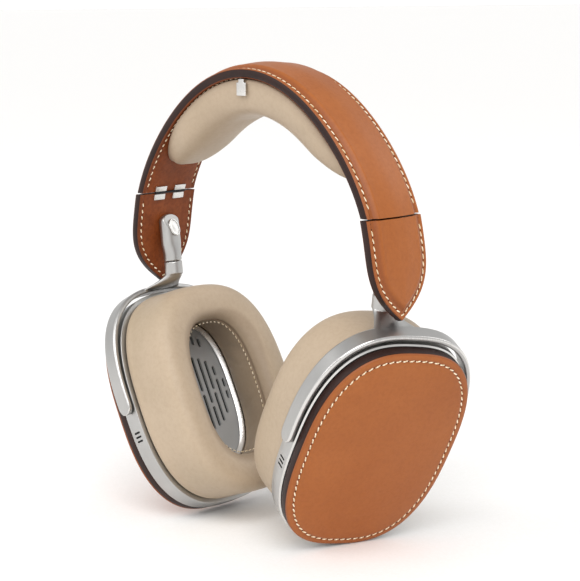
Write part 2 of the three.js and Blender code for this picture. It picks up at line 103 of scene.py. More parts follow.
# adds one node: settings by name, sockets from a dictionary of numbers or of other sockets,
# and the stops of a colour ramp
def add(tree, kind, sockets=None, stops=(), **settings):
    made = tree.nodes.new(kind)
    for name, value in settings.items():
        setattr(made, name, value)
    for name, value in (sockets or {}).items():
        if isinstance(value, bpy.types.NodeSocket):
            tree.links.new(value, made.inputs[name])
        else:
            made.inputs[name].default_value = value
    while stops and len(made.color_ramp.elements) < len(stops):
        made.color_ramp.elements.new(0.5)
    for number, (position, colour) in enumerate(stops):
        made.color_ramp.elements[number].position = position
        made.color_ramp.elements[number].color = srgb(colour)
    return made


def newMaterial(name):
    made = bpy.data.materials.new(name)
    made.use_nodes = True
    made.node_tree.nodes.clear()
    return made, made.node_tree


def finishMaterial(tree, sockets, bump):
    surface = add(tree, "ShaderNodeBsdfPrincipled", {**sockets, "Normal": bump})
    add(tree, "ShaderNodeOutputMaterial", {"Surface": surface.outputs[0]})


# Leather. A hide has pores and creases of about 0.4 mm; they are drawn at grain mm so that they show.
def leather(name, look):
    made, tree = newMaterial(name)
    place = add(tree, "ShaderNodeTexCoord").outputs["Object"]
    cloud = add(tree, "ShaderNodeTexNoise", {
        "Vector": place, "Scale": 1 / (look["cloud"] * mm), "Detail": 5.0, "Roughness": 0.6,
    }).outputs["Fac"]
    base = add(tree, "ShaderNodeValToRGB", {"Fac": cloud}, look["colours"]).outputs["Color"]
    fleck = add(tree, "ShaderNodeTexNoise", {
        "Vector": place, "Scale": 1 / (look["grain"] * 2.2 * mm), "Detail": 3.0, "Roughness": 0.7,
    }).outputs["Fac"]
    spots = add(tree, "ShaderNodeMapRange", {
        "Value": fleck, "From Min": 0.42, "From Max": 0.72, "To Min": 0.0, "To Max": look["fleck"],
    }).outputs["Result"]
    speckled = add(tree, "ShaderNodeMixRGB", {
        "Fac": spots, "Color1": base, "Color2": srgb(look["pore"]),
    }, blend_type="MULTIPLY").outputs[0]
    # the attribute read here mixes in a darker colour: real burnish where cut edges are handled, and painted
    # shade in seam grooves, at the foot of raised panels, and in the cushions' joins and inner walls
    wornAndShaded = add(tree, "ShaderNodeAttribute", attribute_name="burnish_and_shade").outputs["Fac"]
    colour = add(tree, "ShaderNodeMixRGB", {
        "Fac": wornAndShaded, "Color1": speckled, "Color2": srgb(look["burnish_and_shade"]),
    }).outputs[0]
    cells = add(tree, "ShaderNodeTexVoronoi", {
        "Vector": place, "Scale": 1 / (look["grain"] * mm), "Randomness": 1.0,
    }, feature="SMOOTH_F1").outputs["Distance"]
    creases = add(tree, "ShaderNodeTexNoise", {
        "Vector": place, "Scale": 1 / (look["crease"] * mm), "Detail": 4.0, "Distortion": 0.6,
    }).outputs["Fac"]
    pores = add(tree, "ShaderNodeBump", {
        "Height": cells, "Strength": look["poreDepth"], "Distance": 0.12 * mm,
    })
    soft = add(tree, "ShaderNodeBump", {
        "Height": creases, "Strength": look["creaseDepth"], "Distance": 0.5 * mm,
        "Normal": pores.outputs[0],
    })
    roughness = add(tree, "ShaderNodeMapRange", {
        "Value": fleck, "To Min": look["roughness"][0], "To Max": look["roughness"][1],
    }).outputs["Result"]
    finishMaterial(tree, {
        "Base Color": colour, "Roughness": roughness,
        "Specular IOR Level": look["specular"], "Sheen Weight": look["sheen"],
        "Sheen Roughness": 0.45, "Coat Weight": look["coat"], "Coat Roughness": 0.35,
    }, soft.outputs[0])
    return made


# Metal: fine blasted or brushed tooth in the bump, and a soft cloud in the roughness
def metal(name, look):
    made, tree = newMaterial(name)
    place = add(tree, "ShaderNodeTexCoord").outputs["Object"]
    cloud = add(tree, "ShaderNodeTexNoise", {
        "Vector": place, "Scale": 1 / (look["cloud"] * mm), "Detail": 3.0,
    }).outputs["Fac"]
    tooth = add(tree, "ShaderNodeTexNoise", {
        "Vector": place, "Scale": 1 / (look["tooth"] * mm), "Detail": 2.0, "Roughness": 0.8,
    }).outputs["Fac"]
    dull = add(tree, "ShaderNodeValToRGB", {"Fac": cloud}, look["colours"]).outputs["Color"]
    roughness = add(tree, "ShaderNodeMapRange", {
        "Value": cloud, "To Min": look["roughness"][0], "To Max": look["roughness"][1],
    }).outputs["Result"]
    if "polished" in look:
        edge = add(tree, "ShaderNodeAttribute", attribute_name="polish").outputs["Fac"]
        dull = add(tree, "ShaderNodeMixRGB", {
            "Fac": edge, "Color1": dull, "Color2": srgb(look["polished"]),
        }).outputs[0]
        roughness = add(tree, "ShaderNodeMapRange", {
            "Value": edge, "To Min": roughness, "To Max": 0.12,
        }).outputs["Result"]
    bump = add(tree, "ShaderNodeBump", {
        "Height": tooth, "Strength": look["toothDepth"], "Distance": 0.05 * mm,
    })
    finishMaterial(tree, {
        "Base Color": dull, "Metallic": 1.0, "Roughness": roughness,
        "Anisotropic": look.get("anisotropic", 0.0),
    }, bump.outputs[0])
    return made


# Moulded or painted surfaces
def moulded(name, look):
    made, tree = newMaterial(name)
    place = add(tree, "ShaderNodeTexCoord").outputs["Object"]
    cloud = add(tree, "ShaderNodeTexNoise", {
        "Vector": place, "Scale": 1 / (look["cloud"] * mm), "Detail": 4.0,
    }).outputs["Fac"]
    tooth = add(tree, "ShaderNodeTexNoise", {
        "Vector": place, "Scale": 1 / (look["tooth"] * mm), "Detail": 2.0,
    }).outputs["Fac"]
    bump = add(tree, "ShaderNodeBump", {
        "Height": tooth, "Strength": look["toothDepth"], "Distance": 0.1 * mm,
    })
    colour = add(tree, "ShaderNodeValToRGB", {"Fac": cloud}, look["colours"]).outputs["Color"]
    roughness = add(tree, "ShaderNodeMapRange", {
        "Value": cloud, "To Min": look["roughness"][0], "To Max": look["roughness"][1],
    }).outputs["Result"]
    finishMaterial(tree, {
        "Base Color": colour, "IOR": look["ior"], "Roughness": roughness,
        "Coat Weight": look.get("coat", 0.0), "Coat Roughness": 0.2,
    }, bump.outputs[0])
    return made


# Waxed linen thread: two plies twisted, so fine slanted bands run across each stitch
def thread(name, look):
    made, tree = newMaterial(name)
    place = add(tree, "ShaderNodeTexCoord").outputs["Object"]
    plies = add(tree, "ShaderNodeTexWave", {
        "Vector": place, "Scale": 1 / (look["ply"] * mm) / 6.28, "Distortion": 1.5, "Detail": 1.0,
    }, bands_direction="DIAGONAL").outputs["Fac"]
    bump = add(tree, "ShaderNodeBump", {
        "Height": plies, "Strength": 0.5, "Distance": 0.08 * mm,
    })
    # the colour follows the same bands, darker in the twist between the plies: painted shade
    colour = add(tree, "ShaderNodeValToRGB", {"Fac": plies}, look["colours"]).outputs["Color"]
    finishMaterial(tree, {"Base Color": colour, "Roughness": 0.6, "Sheen Weight": 0.2}, bump.outputs[0])
    return made


# vegetable-tanned saddle leather: smooth, close pores, warm tan that darkens where it is handled at the cut
# edges; its darker second colour also paints shade into the seam grooves and at the foot of the raised panel
saddleLeather = leather("saddle leather", {
    "colours": [(0.25, "#985320"), (0.5, "#9f5924"), (0.75, "#a8612b")], "pore": "#7d4220",
    "burnish_and_shade": "#74391a", "cloud": 46, "grain": 0.7, "crease": 5, "fleck": 0.14, "poreDepth": 0.2,
    "creaseDepth": 0.12, "roughness": (0.38, 0.5), "specular": 0.32, "sheen": 0.0, "coat": 0.05,
})
# the same hide, flesh side waxed: darker and redder
liningLeather = leather("bridle lining leather", {
    "colours": [(0.25, "#693311"), (0.5, "#7f3e18"), (0.75, "#8e4a20")], "pore": "#5a2c12",
    "burnish_and_shade": "#552a13", "cloud": 18, "grain": 0.8, "crease": 4, "fleck": 0.35, "poreDepth": 0.3,
    "creaseDepth": 0.18, "roughness": (0.45, 0.6), "specular": 0.26, "sheen": 0.0, "coat": 0.0,
})
# lambskin over foam: soft beige with a fine pebble and a low sheen; its darker second colour tones the crown
# pad a little all over and paints shade at the pad's join with the lining and along the ear pads' inner
# seams and inner walls
lambskin = leather("lambskin nappa", {
    "colours": [(0.25, "#a9977f"), (0.5, "#b09d86"), (0.75, "#b6a38c")], "pore": "#9c8468",
    "burnish_and_shade": "#786350", "cloud": 42, "grain": 0.8, "crease": 3.2, "fleck": 0.1, "poreDepth": 0.2,
    "creaseDepth": 0.14, "roughness": (0.42, 0.56), "specular": 0.38, "sheen": 0.05, "coat": 0.0,
})
# layered edge paint on cut leather: dark burgundy, half matt, with a faint brushed waviness
edgePaint = moulded("edge paint", {
    "colours": [(0.3, "#1e0c07"), (0.7, "#2b130c")], "cloud": 9, "tooth": 1.4, "toothDepth": 0.25,
    "roughness": (0.42, 0.56), "ior": 1.36,
})
linenThread = thread("waxed linen thread", {"colours": [(0.2, "#d9c49c"), (0.8, "#f7ead0")], "ply": 0.5})
# the awl hole that each stitch goes into: raw leather in shadow
awlHole = moulded("awl hole", {
    "colours": [(0.3, "#2a140a"), (0.7, "#3c1e10")], "cloud": 3, "tooth": 0.6, "toothDepth": 0.3,
    "roughness": (0.7, 0.85), "ior": 1.45,
})
# bead-blasted anodised aluminium: even satin grey, highlights spread wide
blastedAluminium = metal("bead-blasted aluminium", {
    "colours": [(0.3, "#b3b2b0"), (0.7, "#bebdbb")], "cloud": 14, "tooth": 0.35, "toothDepth": 0.18,
    "roughness": (0.34, 0.4), "polished": "#dcdad7",
})
# diamond-cut chamfers: mirror bright, so they read as thin white lines
polishedAluminium = metal("diamond-cut aluminium", {
    "colours": [(0.3, "#d6d5d2"), (0.7, "#e2e0dd")], "cloud": 10, "tooth": 0.8, "toothDepth": 0.05,
    "roughness": (0.1, 0.16),
})
# ground spring steel: greyer and a little streaked
springSteel = metal("spring steel", {
    "colours": [(0.3, "#77787a"), (0.7, "#8d8e90")], "cloud": 6, "tooth": 0.5, "toothDepth": 0.2,
    "roughness": (0.28, 0.4),
})
# moulded ABS with a metallic grey paint: the baffle
baffleMetal = moulded("metallic grey ABS", {
    "colours": [(0.3, "#a0a1a1"), (0.7, "#acadad")], "cloud": 18, "tooth": 0.5, "toothDepth": 0.15,
    "roughness": (0.4, 0.5), "ior": 1.5,
})
# turned aluminium trim: brighter than the blasted parts, with a soft shine
turnedAluminium = metal("turned aluminium", {
    "colours": [(0.3, "#cfcdca"), (0.7, "#dad8d5")], "cloud": 10, "tooth": 0.5, "toothDepth": 0.08,
    "roughness": (0.24, 0.3),
})
# oil-blackened steel: the hinge pins
blackSteel = metal("blackened steel", {
    "colours": [(0.3, "#2c2c2e"), (0.7, "#39393b")], "cloud": 5, "tooth": 0.5, "toothDepth": 0.2,
    "roughness": (0.38, 0.5),
})
darkAbs = moulded("black ABS", {
    "colours": [(0.3, "#17171a"), (0.7, "#222226")], "cloud": 8, "tooth": 0.5, "toothDepth": 0.25,
    "roughness": (0.45, 0.6), "ior": 1.5,
})
boardLaminate = moulded("glass-epoxy laminate", {
    "colours": [(0.35, "#16402a"), (0.65, "#23603f")], "cloud": 2.5, "tooth": 0.8, "toothDepth": 0.2,
    "roughness": (0.35, 0.5), "ior": 1.5,
})
batteryWrap = moulded("PVC battery wrap", {
    "colours": [(0.3, "#8f9194"), (0.7, "#a7a9ac")], "cloud": 6, "tooth": 2.0, "toothDepth": 0.3,
    "roughness": (0.25, 0.4), "ior": 1.53,
})
print("materials made")

# meshes. Everything is drawn in millimetres from the fold line and placed in metres.


def toRow(points, side="right"):
    placed = np.array(points, float)
    if side == "left":
        placed[..., 0] *= -1
    placed[..., 2] += foldHeight
    return placed * mm


def loft(rings, closed=False):
    rings = np.array(rings, float)
    count, wide = rings.shape[:2]
    faces = []
    for i in range(count if closed else count - 1):
        a, b = i * wide, (i + 1) % count * wide
        for j in range(wide):
            k = (j + 1) % wide
            faces.append((a + j, a + k, b + k, b + j))
    if not closed:
        faces.append(tuple(range(wide - 1, -1, -1)))
        faces.append(tuple(range((count - 1) * wide, count * wide)))
    return rings.reshape(-1, 3), faces


def gather(parts):
    points, faces, first = [], [], 0
    for cloud, quads in parts:
        points.append(cloud)
        faces += [tuple(i + first for i in face) for face in quads]
        first += len(cloud)
    return np.concatenate(points), faces


def makeObject(name, points, faces):
    mesh = bpy.data.meshes.new(name)
    mesh.from_pydata([tuple(p) for p in points], [], faces)
    work = bmesh.new()
    work.from_mesh(mesh)
    bmesh.ops.remove_doubles(work, verts=work.verts, dist=1e-7)
    bmesh.ops.dissolve_degenerate(work, dist=1e-7, edges=work.edges)
    bmesh.ops.recalc_face_normals(work, faces=work.faces)
    work.to_mesh(mesh)
    work.free()
    made = bpy.data.objects.new(name, mesh)
    scene.collection.objects.link(made)
    return made


# gives a piece its finish, its body and the CAD nodes that it stands for
def dress(piece, materials, body, nodes=(), sharp=32):
    materials = materials if isinstance(materials, (list, tuple)) else [materials]
    piece.data.materials.clear()
    for one in materials:
        piece.data.materials.append(one)
    piece.data.shade_smooth()
    piece.data.set_sharp_from_angle(angle=math.radians(sharp))
    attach(piece, body)
    if nodes:
        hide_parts(*nodes)
    return piece


# replaces a mesh by what its modifiers make of it
def applyModifiers(piece):
    bpy.context.view_layer.update()
    grid = bpy.context.evaluated_depsgraph_get()
    made = bpy.data.meshes.new_from_object(piece.evaluated_get(grid))
    piece.modifiers.clear()
    piece.data = made
    return piece


def cutAway(piece, cutters, operation="DIFFERENCE"):
    for cutter in cutters:
        step = piece.modifiers.new("cut", "BOOLEAN")
        step.object = cutter
        step.operation = operation
        step.solver = "EXACT"
    applyModifiers(piece)
    for cutter in cutters:
        bpy.data.objects.remove(cutter)
    return piece


def remeshed(piece, voxel, smoothing):
    step = piece.modifiers.new("remesh", "REMESH")
    step.mode = "VOXEL"
    step.voxel_size = voxel * mm
    step.use_smooth_shade = True
    if smoothing:
        relax = piece.modifiers.new("relax", "SMOOTH")
        relax.factor = 0.5
        relax.iterations = smoothing
    return applyModifiers(piece)


def setAttribute(piece, name, values):
    attribute = piece.data.attributes.new(name, "FLOAT", "POINT")
    attribute.data.foreach_set("value", np.asarray(values, np.float32))


def vertexArray(piece):
    flat = np.zeros(len(piece.data.vertices) * 3, np.float32)
    piece.data.vertices.foreach_get("co", flat)
    return flat.reshape(-1, 3).astype(float)


def setVertices(piece, points):
    piece.data.vertices.foreach_set("co", np.asarray(points, np.float32).ravel())
    piece.data.update()


def smoothstep(low, high, value):
    t = np.clip((np.asarray(value, float) - low) / (high - low), 0, 1)
    return t * t * (3 - 2 * t)


def unit(vectors):
    return vectors / np.linalg.norm(vectors, axis=-1, keepdims=True)


# points at an even pitch along a line, with the direction at each
def evenly(path, pitch, closed=False):
    path = np.array(path, float)
    if closed:
        path = np.vstack([path, path[:1]])
    steps = np.linalg.norm(np.diff(path, axis=0), axis=1)
    total = np.concatenate([[0], np.cumsum(steps)])
    count = max(2, int(round(total[-1] / pitch)))
    wanted = (np.arange(count) + 0.5) * total[-1] / count

    def at(distance):
        distance = distance % total[-1] if closed else np.clip(distance, 0, total[-1])
        return np.stack([np.interp(distance, total, path[:, k]) for k in range(3)], axis=1)

    centres = at(wanted)
    return centres, unit(at(wanted + 0.4) - at(wanted - 0.4)), total[-1] / count


stitch = {
    "pitch": 3.0, "length": 2.5, "width": 0.6, "height": 0.42, "slant": 15,
    "sink": 0.1, "rings": 7, "sides": 8, "hole": 0.62,
}


# one saddle stitch or awl hole as a slim pod lying along the seam
def pod(centre, along, up, length, width, height, sink):
    across = np.cross(up, along)
    rings = []
    for u in np.linspace(-1, 1, stitch["rings"]):
        full = math.sqrt(max(0.02, 1 - abs(u) ** 3))
        rise = height * (0.5 - 0.45 * u * u) - sink
        turns = np.linspace(0, 2 * math.pi, stitch["sides"], endpoint=False)
        rings.append([
            centre + along * (u * length / 2) + up * (rise + math.sin(t) * height / 2 * full)
            + across * (math.cos(t) * width / 2 * full) for t in turns
        ])
    return loft(rings)


def stitching(name, runs, side, body, lean=1, length=stitch["length"], pitch=stitch["pitch"],
              width=stitch["width"]):
    threads, holes = [], []
    slant = math.radians(stitch["slant"]) * lean
    for path, normalAt, closed in runs:
        centres, along, step = evenly(path, pitch, closed)
        for centre, ahead in zip(centres, along):
            up = normalAt(centre)
            across = np.cross(up, ahead)
            tilted = ahead * math.cos(slant) + across * math.sin(slant)
            threads.append(pod(centre, tilted, up, length, width, stitch["height"], stitch["sink"]))
            gapPoint = centre + ahead * step / 2
            hole = min(stitch["hole"], width)
            holes.append(pod(gapPoint, ahead, up, hole, hole * 0.75, 0.16, 0.02))
    threadCount = sum(len(faces) for _, faces in threads)
    points, faces = gather(threads + holes)
    piece = makeObject(name, toRow(points, side), faces)
    marks = np.zeros(len(piece.data.polygons), np.int32)
    marks[threadCount:] = 1
    dress(piece, [linenThread, awlHole], body)
    piece.data.polygons.foreach_set("material_index", marks)
    return piece


# headband
band = {
    "halfWidth": 15.0, "thickness": 4.0, "centre": -19.4, "radius": 72.65, "stretch": 1.65,
    "shoulder": 1.4, "stitchLine": 1.9, "grooveWidth": 0.5, "groove": 0.28, "stepStart": 2.6,
    "stepEnd": 5.3, "rise": 1.55, "crown": 0.75, "steps": 150,
}


def archPoint(angle, inset, y):
    angle = np.asarray(angle, float)
    radius = band["radius"] - inset - band["stretch"] * np.cos(2 * angle) \
        + band["shoulder"] * np.cos(4 * angle)
    height = band["centre"] + radius * np.sin(angle)
    return np.stack([radius * np.cos(angle), y + 0 * angle, height], axis=-1)


def foldAngle(inset):
    angle = 0.27
    for _ in range(20):
        angle -= (archPoint(angle, inset, 0)[2] - foldGap) / band["radius"]
    return angle


def archLoft(section, trim=0.0, steps=band["steps"]):
    share = np.linspace(0, 1, steps + 1)
    columns = []
    for y, inset in section:
        start = foldAngle(inset) + trim
        columns.append(archPoint(start + (math.pi - 2 * start) * share, inset, y))
    return loft(np.stack(columns, axis=1))


# how far a leather cover stands above its border, by the distance in from its cut edge
def coverHeight(edge):
    edge = np.asarray(edge, float)
    rounded = -0.45 * (1 - smoothstep(-0.05, 0.5, edge)) ** 2
    groove = -band["groove"] * np.exp(-((edge - band["stitchLine"]) / band["grooveWidth"]) ** 2)
    dip = -0.12 * np.exp(-((edge - band["stepStart"] - 0.3) / 0.4) ** 2)
    panel = band["rise"] * smoothstep(band["stepStart"], band["stepEnd"], edge)
    return rounded + groove + dip + panel


# darker by the distance in from a cover's cut edge: real burnish at the handled cut edge, painted shade in
# the stitch groove and at the foot of the raised panel
def coverBurnishAndShade(edge):
    edge = np.asarray(edge, float)
    cutEdge = 0.55 * (1 - smoothstep(0.0, 0.7, edge))
    # painted shade: the stitch groove, then the foot of the raised panel
    seam = 0.4 * np.exp(-((edge - band["stitchLine"]) / 0.7) ** 2)
    step = 0.5 * np.exp(-((edge - band["stepStart"] - 0.8) / 0.9) ** 2)
    return np.clip(cutEdge + seam + step, 0, 1)


def radialUp(point):
    out = np.array([point[0], 0.0, point[2] - band["centre"]])
    return out / np.linalg.norm(out)


def radialDown(point):
    return -radialUp(point)


def buildHeadband():
    inner = np.array([0, 0.12, 0.3, 0.55, 0.9, 1.25, 1.5, 1.75, 2.0, 2.25, 2.5, 2.75, 3.0, 3.25, 3.5,
                      3.8, 4.1, 4.4, 4.7, 5.0, 5.3, 5.7, 6.4, 8, 10.5, 13, 15])
    across = np.concatenate([-(band["halfWidth"] - inner), (band["halfWidth"] - inner)[-2::-1]])
    edges = band["halfWidth"] - np.abs(across)
    crown = band["crown"] * smoothstep(4, 15, edges)
    section = [(y, -(h + c)) for y, h, c in zip(across * 0.997, coverHeight(edges), crown)]
    section += [(14.2, 1.1), (-14.2, 1.1)]
    points, faces = archLoft(section)
    cover = makeObject("band_leather", toRow(points), faces)
    setAttribute(cover, "burnish_and_shade", coverBurnishAndShade(15 - np.abs(vertexArray(cover)[:, 1]) / mm))
    dress(cover, saddleLeather, "headband", ["band_cover"], sharp=50)

    under = [(-14.95, 3.35), (-14.9, 3.75), (-14.6, 4.0), (-13.4, 4.0), (-13.0, 3.85), (-12.6, 4.0),
             (-6, 4.02), (0, 4.04), (6, 4.02), (12.6, 4.0), (13.0, 3.85), (13.4, 4.0), (14.6, 4.0),
             (14.9, 3.75), (14.95, 3.35), (14.2, 2.6), (-14.2, 2.6)]
    points, faces = archLoft(under)
    lining = makeObject("band_lining_leather", toRow(points), faces)
    edge = 15 - np.abs(vertexArray(lining)[:, 1]) / mm
    setAttribute(lining, "burnish_and_shade", 0.5 * (1 - smoothstep(0.1, 1.2, edge)))
    dress(lining, liningLeather, "headband", ["band_lining"], sharp=50)

    edgeParts = []
    for way in (-1, 1):
        strip = [(13.2, 0.6), (14.8, 0.32), (15.12, 0.75), (15.3, 1.4), (15.36, 2.05), (15.3, 2.7),
                 (15.12, 3.35), (14.8, 3.72), (13.2, 3.5)]
        edgeParts.append(archLoft([(y * way, inset) for y, inset in strip]))
    reach = 1.4 / band["radius"]
    for end in (0, 1):
        rings = []
        for y in np.linspace(-14.9, 14.9, 31):
            row = []
            for inset, along in ((0.25, reach), (0.35, 0), (1.2, -0.0006), (2.8, -0.0006), (3.6, 0),
                                 (3.75, reach)):
                angle = foldAngle(inset) + along
                row.append(archPoint(math.pi - angle if end else angle, inset, y))
            rings.append(row)
        edgeParts.append(loft(rings))
    points, faces = gather(edgeParts)
    dress(makeObject("band_painted_edge", toRow(points), faces), edgePaint, "headband")

    turns = np.linspace(foldAngle(0) + 0.05, math.pi - foldAngle(0) - 0.05, 400)
    height = float(coverHeight(band["stitchLine"]))
    outer = [(archPoint(turns, -height - 0.02, way * 13.0), radialUp, False) for way in (-1, 1)]
    stitching("band_stitches", outer, "right", "headband")
    under = [(archPoint(turns, 3.9, way * 13.0), radialDown, False) for way in (-1, 1)]
    stitching("lining_stitches", under, "right", "headband", -1, 1.9)


buildHeadband()
print("headband built")

# folding tabs
tab = {
    "top": 69.3, "slope": 0.24, "curve": 0.0032, "length": 40.4, "straight": 10.0, "power": 3.2,
    "across": 84, "down": 96, "firstStitch": 3.6,
}


def tabOuter(depth):
    return tab["top"] + tab["slope"] * depth - tab["curve"] * depth * depth


def tabHalf(depth):
    taper = np.clip((np.asarray(depth, float) - tab["straight"]) / (tab["length"] - tab["straight"]), 0, 1)
    return 0.3 + (band["halfWidth"] + 0.4) * (1 - taper ** tab["power"]) ** 1.1


def tabPoint(y, depth, inset):
    return np.stack([tabOuter(depth) - inset, y, -depth], axis=-1)


def tabUp(point):
    slope = tab["slope"] - 2 * tab["curve"] * -point[2]
    return np.array([1.0, 0.0, slope]) / math.hypot(1, slope)


def tabDown(point):
    return -tabUp(point)


# distance in from the tab's cut edge, leaving out the straight edge at the fold
def tabEdge(y, depth):
    dense = np.linspace(0, tab["length"], 500)
    dense = np.concatenate([dense, [tab["length"] + 0.01]])
    half = np.concatenate([tabHalf(dense[:-1]), [0]])
    outline = np.concatenate([np.stack([half, dense], 1), np.stack([-half, dense], 1)])
    flat = np.stack([np.ravel(y), np.ravel(depth)], 1)
    nearest = np.array([np.min(np.hypot(*(outline - p).T)) for p in flat])
    return nearest.reshape(np.shape(y))


def tabRows(margin=0.0, start=foldGap):
    share = np.sin(math.pi / 2 * np.linspace(0, 1, tab["down"]))
    depth = start + (tab["length"] - 0.05 - margin - start) * share
    return depth, np.maximum(0.3, tabHalf(depth + margin) - margin)


# a leather layer of the tab: a shaped face, and a plain face behind it
def tabLayer(face, behind, shapeOf):
    depth, half = tabRows()
    spread = np.sin(math.pi / 2 * np.linspace(-1, 1, tab["across"]))
    y = half[:, None] * spread[None, :]
    rows = depth[:, None] + 0 * y
    edge = tabEdge(y, rows)
    front = tabPoint(y, rows, face + shapeOf(edge))
    backHalf = np.maximum(0.2, half - 0.25)
    backY = np.stack([backHalf, -backHalf], 1)
    backFace = tabPoint(backY, depth[:, None] + 0 * backY, behind)
    return loft(np.concatenate([front, backFace], axis=1))


def edgeFromVertices(piece):
    points = vertexArray(piece) / mm
    return tabEdge(points[:, 1], foldHeight - points[:, 2])


# the seam line, just in from the edge, down one side, round the tip and up the other
def tabSeam(inset):
    dense = np.linspace(tab["firstStitch"], tab["length"], 400)
    half = tabHalf(dense)
    outline = np.concatenate([np.stack([half, dense], 1), np.stack([-half, dense], 1)[::-1]])
    along = np.gradient(outline, axis=0)
    inward = unit(np.stack([-along[:, 1], along[:, 0]], 1))
    seam = outline + inward * band["stitchLine"]
    seam = seam[tabEdge(seam[:, 0], seam[:, 1]) > band["stitchLine"] * 0.985]
    return tabPoint(seam[:, 0], seam[:, 1], inset)


# the shapes of the tab's two faces, by the distance in from the cut edge
def tabCoverShape(edge):
    return -coverHeight(edge) - 0.55 * smoothstep(4.6, 14, edge)


def tabLiningShape(edge):
    return 0.25 * (smoothstep(-0.05, 0.4, edge) - 1) - 0.12 * np.exp(-((edge - 2) / 0.5) ** 2)


# a point of the painted edge: the tab's outline, drawn in by a margin
def tabRimPoint(y, depth, margin, inset):
    nearTip = margin * smoothstep(36, 40.4, depth) if depth > 36 else 0.0
    return tabPoint(y * max(0.0, 1 - margin / 15.4), depth - nearTip, inset)


def buildTab(side):
    body = f"tab_{side}"
    points, faces = tabLayer(0, 1.1, tabCoverShape)
    cover = makeObject(f"tab_leather_{side}", toRow(points, side), faces)
    setAttribute(cover, "burnish_and_shade", coverBurnishAndShade(edgeFromVertices(cover)))
    dress(cover, saddleLeather, body, [f"tab_cover_{side}"], sharp=50)

    points, faces = tabLayer(band["thickness"], 2.7, tabLiningShape)
    lining = makeObject(f"tab_lining_leather_{side}", toRow(points, side), faces)
    setAttribute(lining, "burnish_and_shade", 0.5 * (1 - smoothstep(0.1, 1.2, edgeFromVertices(lining))))
    dress(lining, liningLeather, body, [f"tab_lining_{side}"], sharp=50)

    dense = np.linspace(foldGap + 0.1, tab["length"], 120)
    half = tabHalf(dense)
    outline = np.concatenate([np.stack([half, dense], 1), np.stack([-half, dense], 1)[::-1]])
    rim = [(1.6, 0.6), (0.15, 0.3), (-0.16, 0.75), (-0.3, 1.4), (-0.34, 2.0), (-0.3, 2.6),
           (-0.16, 3.3), (0.15, 3.72), (1.6, 3.4)]
    rings = [[tabRimPoint(y, depth, margin, inset) for margin, inset in rim] for y, depth in outline]
    top = [(1.4, 0.25), (0.05, 0.3), (-0.05, 1.2), (-0.05, 2.8), (0.05, 3.7), (1.4, 3.75)]
    topRings = []
    for y in np.linspace(-15.5, 15.5, 31):
        topRings.append([tabPoint(y, foldGap + drop, inset) for drop, inset in top])
    points, faces = gather([loft(rings), loft(topRings)])
    edge = makeObject(f"tab_painted_edge_{side}", toRow(points, side), faces)
    dress(edge, edgePaint, body)

    height = float(coverHeight(band["stitchLine"]))
    stitching(f"tab_stitches_{side}", [(tabSeam(-height - 0.02), tabUp, False)], side, body)
    stitching(f"tab_lining_stitches_{side}", [(tabSeam(4.05 - 0.12), tabDown, False)], side, body, -1, 1.9)


for side in sides:
    buildTab(side)
print("tabs built")

# cups. A cup is drawn with x to the back, y up its face and z out of its face.
cup = {
    "halfWidth": 35.5, "halfHeight": 48.5, "roundness": 2.7, "tilt": 26.7, "x": 60.6, "z": -96.2,
    "swivel": {"right": -17.6, "left": 0.0}, "segments": 200, "lip": 0.7, "ringMiddle": -9.95,
    "seat": -16.3, "earDepth": 26.0, "earDroop": 0.14, "skirt": -14.6, "ringBack": -14.2,
}


def outlineRadius(angle, inset):
    wide = cup["halfWidth"] - inset
    high = cup["halfHeight"] - inset
    across = np.abs(np.cos(angle) / wide) ** cup["roundness"]
    along = np.abs(np.sin(angle) / high) ** cup["roundness"]
    return (across + along) ** (-1 / cup["roundness"])


def outlinePoint(angle, inset, z):
    radius = outlineRadius(angle, inset)
    return np.stack([radius * np.cos(angle), radius * np.sin(angle), z + 0 * radius], axis=-1)


def outlineRing(inset, z, segments=None):
    turns = np.linspace(0, 2 * math.pi, segments or cup["segments"], endpoint=False)
    return outlinePoint(turns, inset, z)


def cupMatrix(side):
    tilt, swivel = math.radians(cup["tilt"]), math.radians(cup["swivel"][side])
    up = Vector((math.sin(tilt), 0, math.cos(tilt)))
    spin = Matrix.Rotation(swivel, 3, up)
    out = spin @ Vector((math.cos(tilt), 0, -math.sin(tilt)))
    back = spin @ Vector((0, 1, 0))
    return np.array([[back.x, up.x, out.x], [back.y, up.y, out.y], [back.z, up.z, out.z]])


cupOrigin = np.array([cup["x"], 0, cup["z"]])


def fromCup(points, side):
    return toRow(np.asarray(points, float) @ cupMatrix(side).T + cupOrigin, side)


def toCup(rowPoints, side):
    placed = np.array(rowPoints, float) / mm
    placed[..., 2] -= foldHeight
    if side == "left":
        placed[..., 0] *= -1
    return (placed - cupOrigin) @ cupMatrix(side)


def cupLoft(profile, closed=False, segments=None):
    return loft([outlineRing(inset, z, segments) for inset, z in profile], closed)


# a disc's crown, by the distance in from its edge
def discHeight(inset):
    known = [(0, -1.0), (0.06, -0.75), (0.2, -0.42), (0.45, -0.2), (0.8, -0.08), (1.4, 0.05), (4, 0.5),
             (10, 1.1), (18, 1.6), (28, 1.95), (36, 2.05)]
    level = np.interp(inset, [k[0] for k in known], [k[1] for k in known])
    return level - 0.26 * np.exp(-((np.asarray(inset, float) - 3.0) / 0.6) ** 2)


